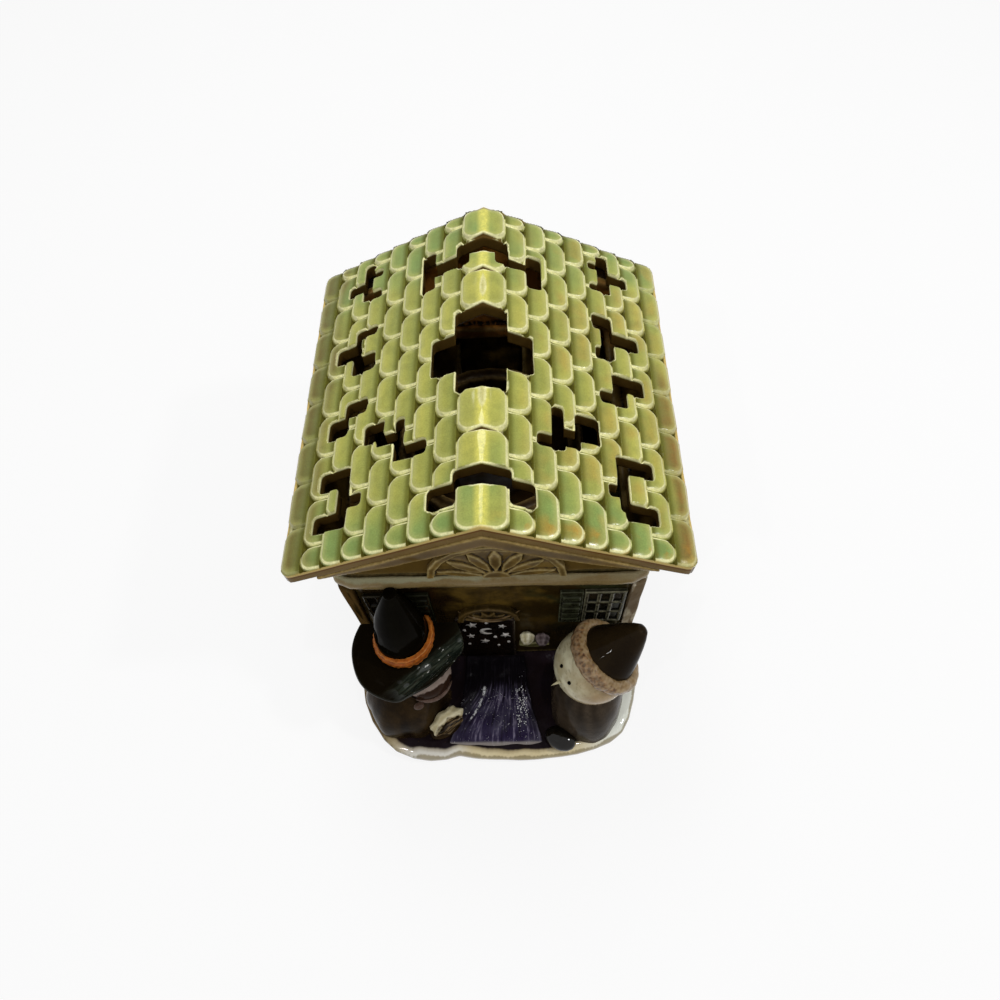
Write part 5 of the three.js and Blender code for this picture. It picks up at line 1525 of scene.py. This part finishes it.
def make_house():
    """The walls, the band round their rim and the boards at their corners"""
    glazed("house_walls", "base", wall_glaze(), "brown_glaze", voxel=0.8, wobble=0.3, wave=26)
    glazed("rim_band", "base", band_glaze(), "ivory_glaze", voxel=0.55, rounding=8, wobble=0.2, swell=0.1)
    boards = board_glaze()
    for corner in ("front_left", "front_right", "back_left", "back_right"):
        glazed("corner_board_" + corner, "base", boards, "ivory_glaze", voxel=0.45, rounding=6)


def make_door():
    """The front door with its painted stars, and the hood over it"""
    door_brown = plain_glaze(
        "door glaze", paint(22, 13, 7), paint(15, 9, 5), paint(76, 66, 56), paint(7, 4, 3),
        breaks=0.5, gloss=0.06,
    )
    white_paint = plain_glaze(
        "white dabs", paint(216, 212, 206), paint(188, 182, 176), paint(240, 238, 234), paint(150, 140, 132),
        blotch=2.0, gloss=0.15,
    )
    hood_olive = plain_glaze(
        "hood glaze", paint(68, 52, 22), paint(42, 32, 12), paint(122, 98, 54), paint(10, 7, 3),
        breaks=0.5, pools=1.4, gloss=0.06,
    )
    ridge_olive = plain_glaze(
        "hood ridge glaze", paint(120, 96, 60), paint(76, 56, 28), paint(160, 140, 104), paint(30, 20, 8),
        blotch=5.0, breaks=0.6, gloss=0.12,
    )
    glazed("front_door", "base", door_brown, "door_glaze", voxel=0.35)
    show("door_stars", door_paint(), "base", white_paint, "cream_glaze")
    glazed("door_hood", "base", hood_olive, "olive_glaze", voxel=0.3, rounding=6)
    low = swag("hood_ridge_low", -14.0, 9.5, 52.0, 0.6, 2.2, 0.4)
    high = swag("hood_ridge_high", -15.0, 10.5, 57.0, 2.4, 3.0, 0.3)
    for ridge in (low, high):
        show(ridge.name, ridge, "base", ridge_olive, "olive_glaze")


def make_windows():
    """The lattice windows and their shutters: darker on the left, grey green on the right"""
    dark_pane = plain_glaze(
        "dark window glaze", paint(20, 15, 8), paint(12, 9, 5), paint(74, 68, 48), paint(5, 4, 2),
        blotch=3.0, breaks=0.6, gloss=0.06,
    )
    dark_green = plain_glaze(
        "dark green glaze", paint(32, 32, 20), paint(18, 16, 9), paint(62, 64, 48), paint(8, 7, 4),
        blotch=3.0, breaks=0.5, gloss=0.05,
    )
    black_pane = plain_glaze(
        "window glaze", paint(26, 24, 14), paint(14, 13, 7), paint(166, 162, 132), paint(6, 5, 3),
        blotch=3.0, breaks=0.75, gloss=0.08,
    )
    grey_green = plain_glaze(
        "grey-green glaze", paint(52, 55, 38), paint(28, 28, 16), paint(104, 106, 84), paint(12, 11, 6),
        blotch=3.0, breaks=0.6, gloss=0.06,
    )
    for side, pane, leaf in (("left", dark_pane, dark_green), ("right", black_pane, grey_green)):
        glazed("window_" + side, "base", pane, "black_glaze", voxel=0.25, rounding=2, wobble=0.06)
        glazed("shutter_" + side, "base", leaf, "grey_green_glaze", voxel=0.25, rounding=4, wobble=0.06)


def make_blooms():
    """The two blooms and the leaf beside the door"""
    mauve = plain_glaze(
        "mauve glaze", paint(98, 84, 84), paint(72, 58, 58), paint(138, 124, 124), paint(38, 28, 28),
        gloss=0.1,
    )
    leaf_olive = plain_glaze(
        "leaf glaze", paint(88, 84, 48), paint(66, 62, 34), paint(140, 134, 92), paint(30, 26, 12),
        blotch=3.0, gloss=0.12,
    )
    glazed("bloom_white", "base", cream, "cream_glaze", voxel=0.3, swell=0.25)
    glazed("bloom_mauve", "base", mauve, "mauve_glaze", voxel=0.3, swell=0.25)
    glazed("bloom_leaf", "base", leaf_olive, "olive_glaze", voxel=0.3)


def make_left_figure():
    """The figure in the broad pointed hat: robe, head, hat, and the cuff of one sleeve"""
    pink = plain_glaze(
        "pink glaze", paint(104, 84, 74), paint(74, 56, 46), paint(150, 130, 120), paint(40, 26, 20),
        blotch=4.0, gloss=0.1,
    )
    orange = plain_glaze(
        "orange glaze", paint(172, 88, 28), paint(134, 64, 18), paint(204, 136, 62), paint(92, 36, 12),
        blotch=1.8, breaks=0.6, peel=0.08, gloss=0.12,
    )
    glazed("witch_robe", "base", umber, "umber_glaze", voxel=0.5, rounding=6,
           shape=oval_shape(WITCH, WITCH_ROBE_HEIGHT, witch_robe_section, witch_folds))
    glazed("witch_head", "base", face_glaze(), "lilac_glaze", voxel=0.4,
           shape=ball_shape(WITCH_HEAD, WITCH_HEAD_RADIUS))
    show("witch_collar", collar(), "base", pink, "lilac_glaze")
    chin = bead("witch_chin", WITCH + (8.9, -11.0, 28.6), (2.2, 1.6, 1.4), 0.3)
    show("witch_chin", chin, "base", pink, "lilac_glaze")
    sleeve = bead("witch_sleeve", WITCH + (17.6, -13.6, 3.0), (8.2, 4.8, 4.0), CUFF_TURN)
    show("witch_sleeve", sleeve, "base", umber, "umber_glaze")
    brim = witch_brim()
    mark_relief(brim)
    show("witch_hat_brim_glazed", brim, "base", brim_glaze(), "black_glaze", "witch_hat_brim")
    glazed("witch_hat_crown", "base", black, "black_glaze", voxel=0.4, rounding=8,
           shape=oval_shape(CROWN_FOOT, CROWN_HEIGHT, crown_section(0.0), crown_swell))
    glazed("witch_hat_band", "base", orange, "orange_glaze", voxel=0.25, rounding=4, swell=0, wobble=0,
           shape=band_shape)
    glazed("witch_cuff", "base", cuff_glaze(), "cream_glaze", voxel=0.35, rounding=6, shape=cuff_shape)


def make_right_figure():
    """The round figure: robe, head with eyes and nose, one shoe, the rolled ruff and the hat"""
    grey_umber = plain_glaze(
        "grey umber glaze", paint(60, 50, 39), paint(40, 32, 23), paint(112, 98, 82), paint(16, 12, 8),
        blotch=14.0, breaks=0.8, gloss=0.02,
    )
    shoe_black = plain_glaze(
        "shoe glaze", paint(14, 11, 7), paint(9, 7, 4), paint(50, 46, 38), paint(4, 3, 2),
        breaks=0.5, rough=0.05, waves=0.9, gloss=0.25,
    )
    hat_brown = plain_glaze(
        "hat glaze", paint(36, 27, 14), paint(26, 18, 9), paint(70, 56, 36), paint(8, 6, 3),
        breaks=0.4, rough=0.05, gloss=0.03,
    )
    glazed("ghost_robe", "base", grey_umber, "umber_glaze", voxel=0.5, rounding=6,
           shape=oval_shape(GHOST, GHOST_ROBE_HEIGHT, ghost_robe_section, ghost_folds))
    glazed("ghost_head", "base", mask_glaze(), "cream_glaze", voxel=0.4,
           shape=ball_shape(GHOST_HEAD, GHOST_HEAD_RADIUS))
    for number, way in enumerate(((-0.82, -0.16, 0.54), (-0.65, -0.58, 0.49)), 1):
        spot = GHOST_HEAD + np.array(way) * (GHOST_HEAD_RADIUS - 0.1)
        eye = bead(f"ghost_eye_{number}", spot, (0.78, 0.78, 1.05))
        show(eye.name, eye, "base", black, "black_glaze")
    glazed("ghost_nose", "base", cream, "cream_glaze", voxel=0.2, swell=-0.3, wobble=0.0)
    glazed("ghost_shoe", "base", shoe_black, "black_glaze", voxel=0.3, rounding=24, swell=0.35)
    glazed("ghost_ruff", "base", ruff_glaze(), "tan_glaze", voxel=0.35, rounding=4, swell=0,
           shape=ruff_shape)
    glazed("ghost_hat", "base", hat_brown, "black_glaze", voxel=0.4, rounding=6, shape=ghost_hat_shape)


def make_lid():
    """The shingle roof, the lid's walls with the fanlight, a dark strip standing for shade under the back
    eave, and the bargeboards
    """
    fan_olive = plain_glaze(
        "fanlight glaze", paint(118, 94, 44), paint(86, 66, 26), paint(196, 174, 116), paint(24, 16, 5),
        blotch=7.0, breaks=0.7, pools=1.6, gloss=0.05,
    )
    beige = plain_glaze(
        "beige glaze", paint(104, 80, 34), paint(78, 58, 20), paint(176, 150, 92), paint(42, 29, 8),
        blotch=18.0, breaks=0.8, pools=1.2, gloss=0.04,
    )
    glazed("roof", "lid", roof_glaze(), "green_glaze", voxel=0.42, rounding=2, swell=0, wobble=0.12,
           wave=18, shape=shape_shingles)
    glazed("lid_walls", "lid", lid_glaze(), "amber_glaze", voxel=0.7, rounding=5, swell=0)
    glazed("fanlight", "lid", fan_olive, "olive_glaze", voxel=0.35, rounding=4)
    # A dark strip that stands for shade under the back eave
    show("shade_soffit_back", shade_soffit_back(), "lid", umber, "umber_glaze")
    for end in ("front", "back"):
        glazed("bargeboard_" + end, "lid", beige, "beige_glaze", voxel=0.5, rounding=6)


def make_dish_and_tealight():
    """The wax dish, and the tealight whose wick keeps its CAD form"""
    dish_brown = plain_glaze(
        "dish glaze", paint(58, 40, 18), paint(40, 28, 12), paint(126, 104, 62), paint(18, 11, 5),
        gloss=0.03,
    )
    glazed("wax_dish", "dish", dish_brown, "brown_glaze", voxel=0.6, rounding=6, swell=0)
    show("tealight_cup_metal", tealight_cup(), "tealight", metal_finish(), "aluminium", "tealight_cup")
    show("tealight_wax_block", tealight_wax(), "tealight", wax_finish(), "wax", "tealight_wax")
    wick_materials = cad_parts["tealight_wick"].data.materials
    wick_materials.clear()
    wick_materials.append(wick_finish())


# Glazes that more than one sub-part wears
cream = plain_glaze(
    "cream glaze", paint(196, 188, 150), paint(166, 154, 114), paint(230, 224, 198), paint(104, 84, 48),
    blotch=7.0, gloss=0.15,
)
umber = plain_glaze(
    "umber glaze", paint(44, 31, 14), paint(25, 16, 7), paint(98, 78, 50), paint(11, 7, 3),
    blotch=9.0, breaks=0.7, gloss=0.015,
)
black = plain_glaze(
    "black glaze", paint(11, 8, 4), paint(7, 5, 2), paint(34, 32, 22), paint(4, 3, 2),
    breaks=0.4, rough=0.06, gloss=0.015,
)

make_ground()
make_house()
make_door()
make_windows()
make_blooms()
make_left_figure()
make_right_figure()
make_lid()
make_dish_and_tealight()

# Floor, light and background, in metres

FLOOR_SIZE = 6.0
FLOOR_SHOWN = 0.85
WORLD_STRENGTH = 0.34
LAMP_TARGET = Vector((0, 0, 0.08))


def seen_directly(tree):
    """1 for rays that show the background itself: camera, mirrored and see-through rays"""
    rays = add(tree, "LightPath").outputs
    return largest(tree, rays["Is Camera Ray"], rays["Is Glossy Ray"], rays["Is Transmission Ray"])


def make_floor():
    """A plain pale floor that keeps the object's shadow and looks white to the camera and in the glaze"""
    mesh = bpy.data.meshes.new("floor")
    h = FLOOR_SIZE / 2
    mesh.from_pydata([(-h, -h, 0), (h, -h, 0), (h, h, 0), (-h, h, 0)], [], [(0, 1, 2, 3)])
    floor = bpy.data.objects.new("floor", mesh)
    scene.collection.objects.link(floor)
    made = bpy.data.materials.new("pale floor")
    made.use_nodes = True
    tree = made.node_tree
    tree.nodes.clear()
    paper = grain(tree, place_mm(tree), 60.0)
    colour = mixed(tree, paper, (0.86, 0.86, 0.86, 1), (0.9, 0.9, 0.9, 1))
    lit = add(tree, "BsdfDiffuse", {"Color": colour}).outputs[0]
    white = add(tree, "Emission", {"Strength": 1.0}).outputs[0]
    share = times(tree, seen_directly(tree), FLOOR_SHOWN)
    both = add(tree, "MixShader")
    fill(tree, both.inputs[0], share)
    fill(tree, both.inputs[1], lit)
    fill(tree, both.inputs[2], white)
    add(tree, "OutputMaterial", {"Surface": both.outputs[0]})
    mesh.materials.append(made)


def make_world():
    """Soft light from all round, white where it is seen or mirrored"""
    world = bpy.data.worlds.new("studio")
    scene.world = world
    world.use_nodes = True
    tree = world.node_tree
    background = tree.nodes["Background"]
    background.inputs["Color"].default_value = (1, 1, 1, 1)
    strength = times(tree, seen_directly(tree), 1 - WORLD_STRENGTH)
    fill(tree, background.inputs["Strength"], plus(tree, strength, WORLD_STRENGTH))


def make_lamp(name, place, size, power):
    """A square soft lamp aimed at the middle of the object"""
    data = bpy.data.lights.new(name, "AREA")
    data.size = size
    data.energy = power
    lamp = bpy.data.objects.new(name, data)
    scene.collection.objects.link(lamp)
    lamp.location = place
    lamp.rotation_euler = (LAMP_TARGET - Vector(place)).to_track_quat("-Z", "Y").to_euler()


make_floor()
make_world()
make_lamp("back lamp", (-0.1, 0.5, 0.95), 0.35, 3.6)
make_lamp("front lamp", (-0.5, -0.6, 1.0), 0.04, 1.4)
make_lamp("side lamp", (0.7, -0.1, 0.8), 0.08, 2.6)
make_lamp("small top lamp", (0.12, -0.14, 0.95), 0.03, 0.9)
scene.view_settings.view_transform = "Standard"
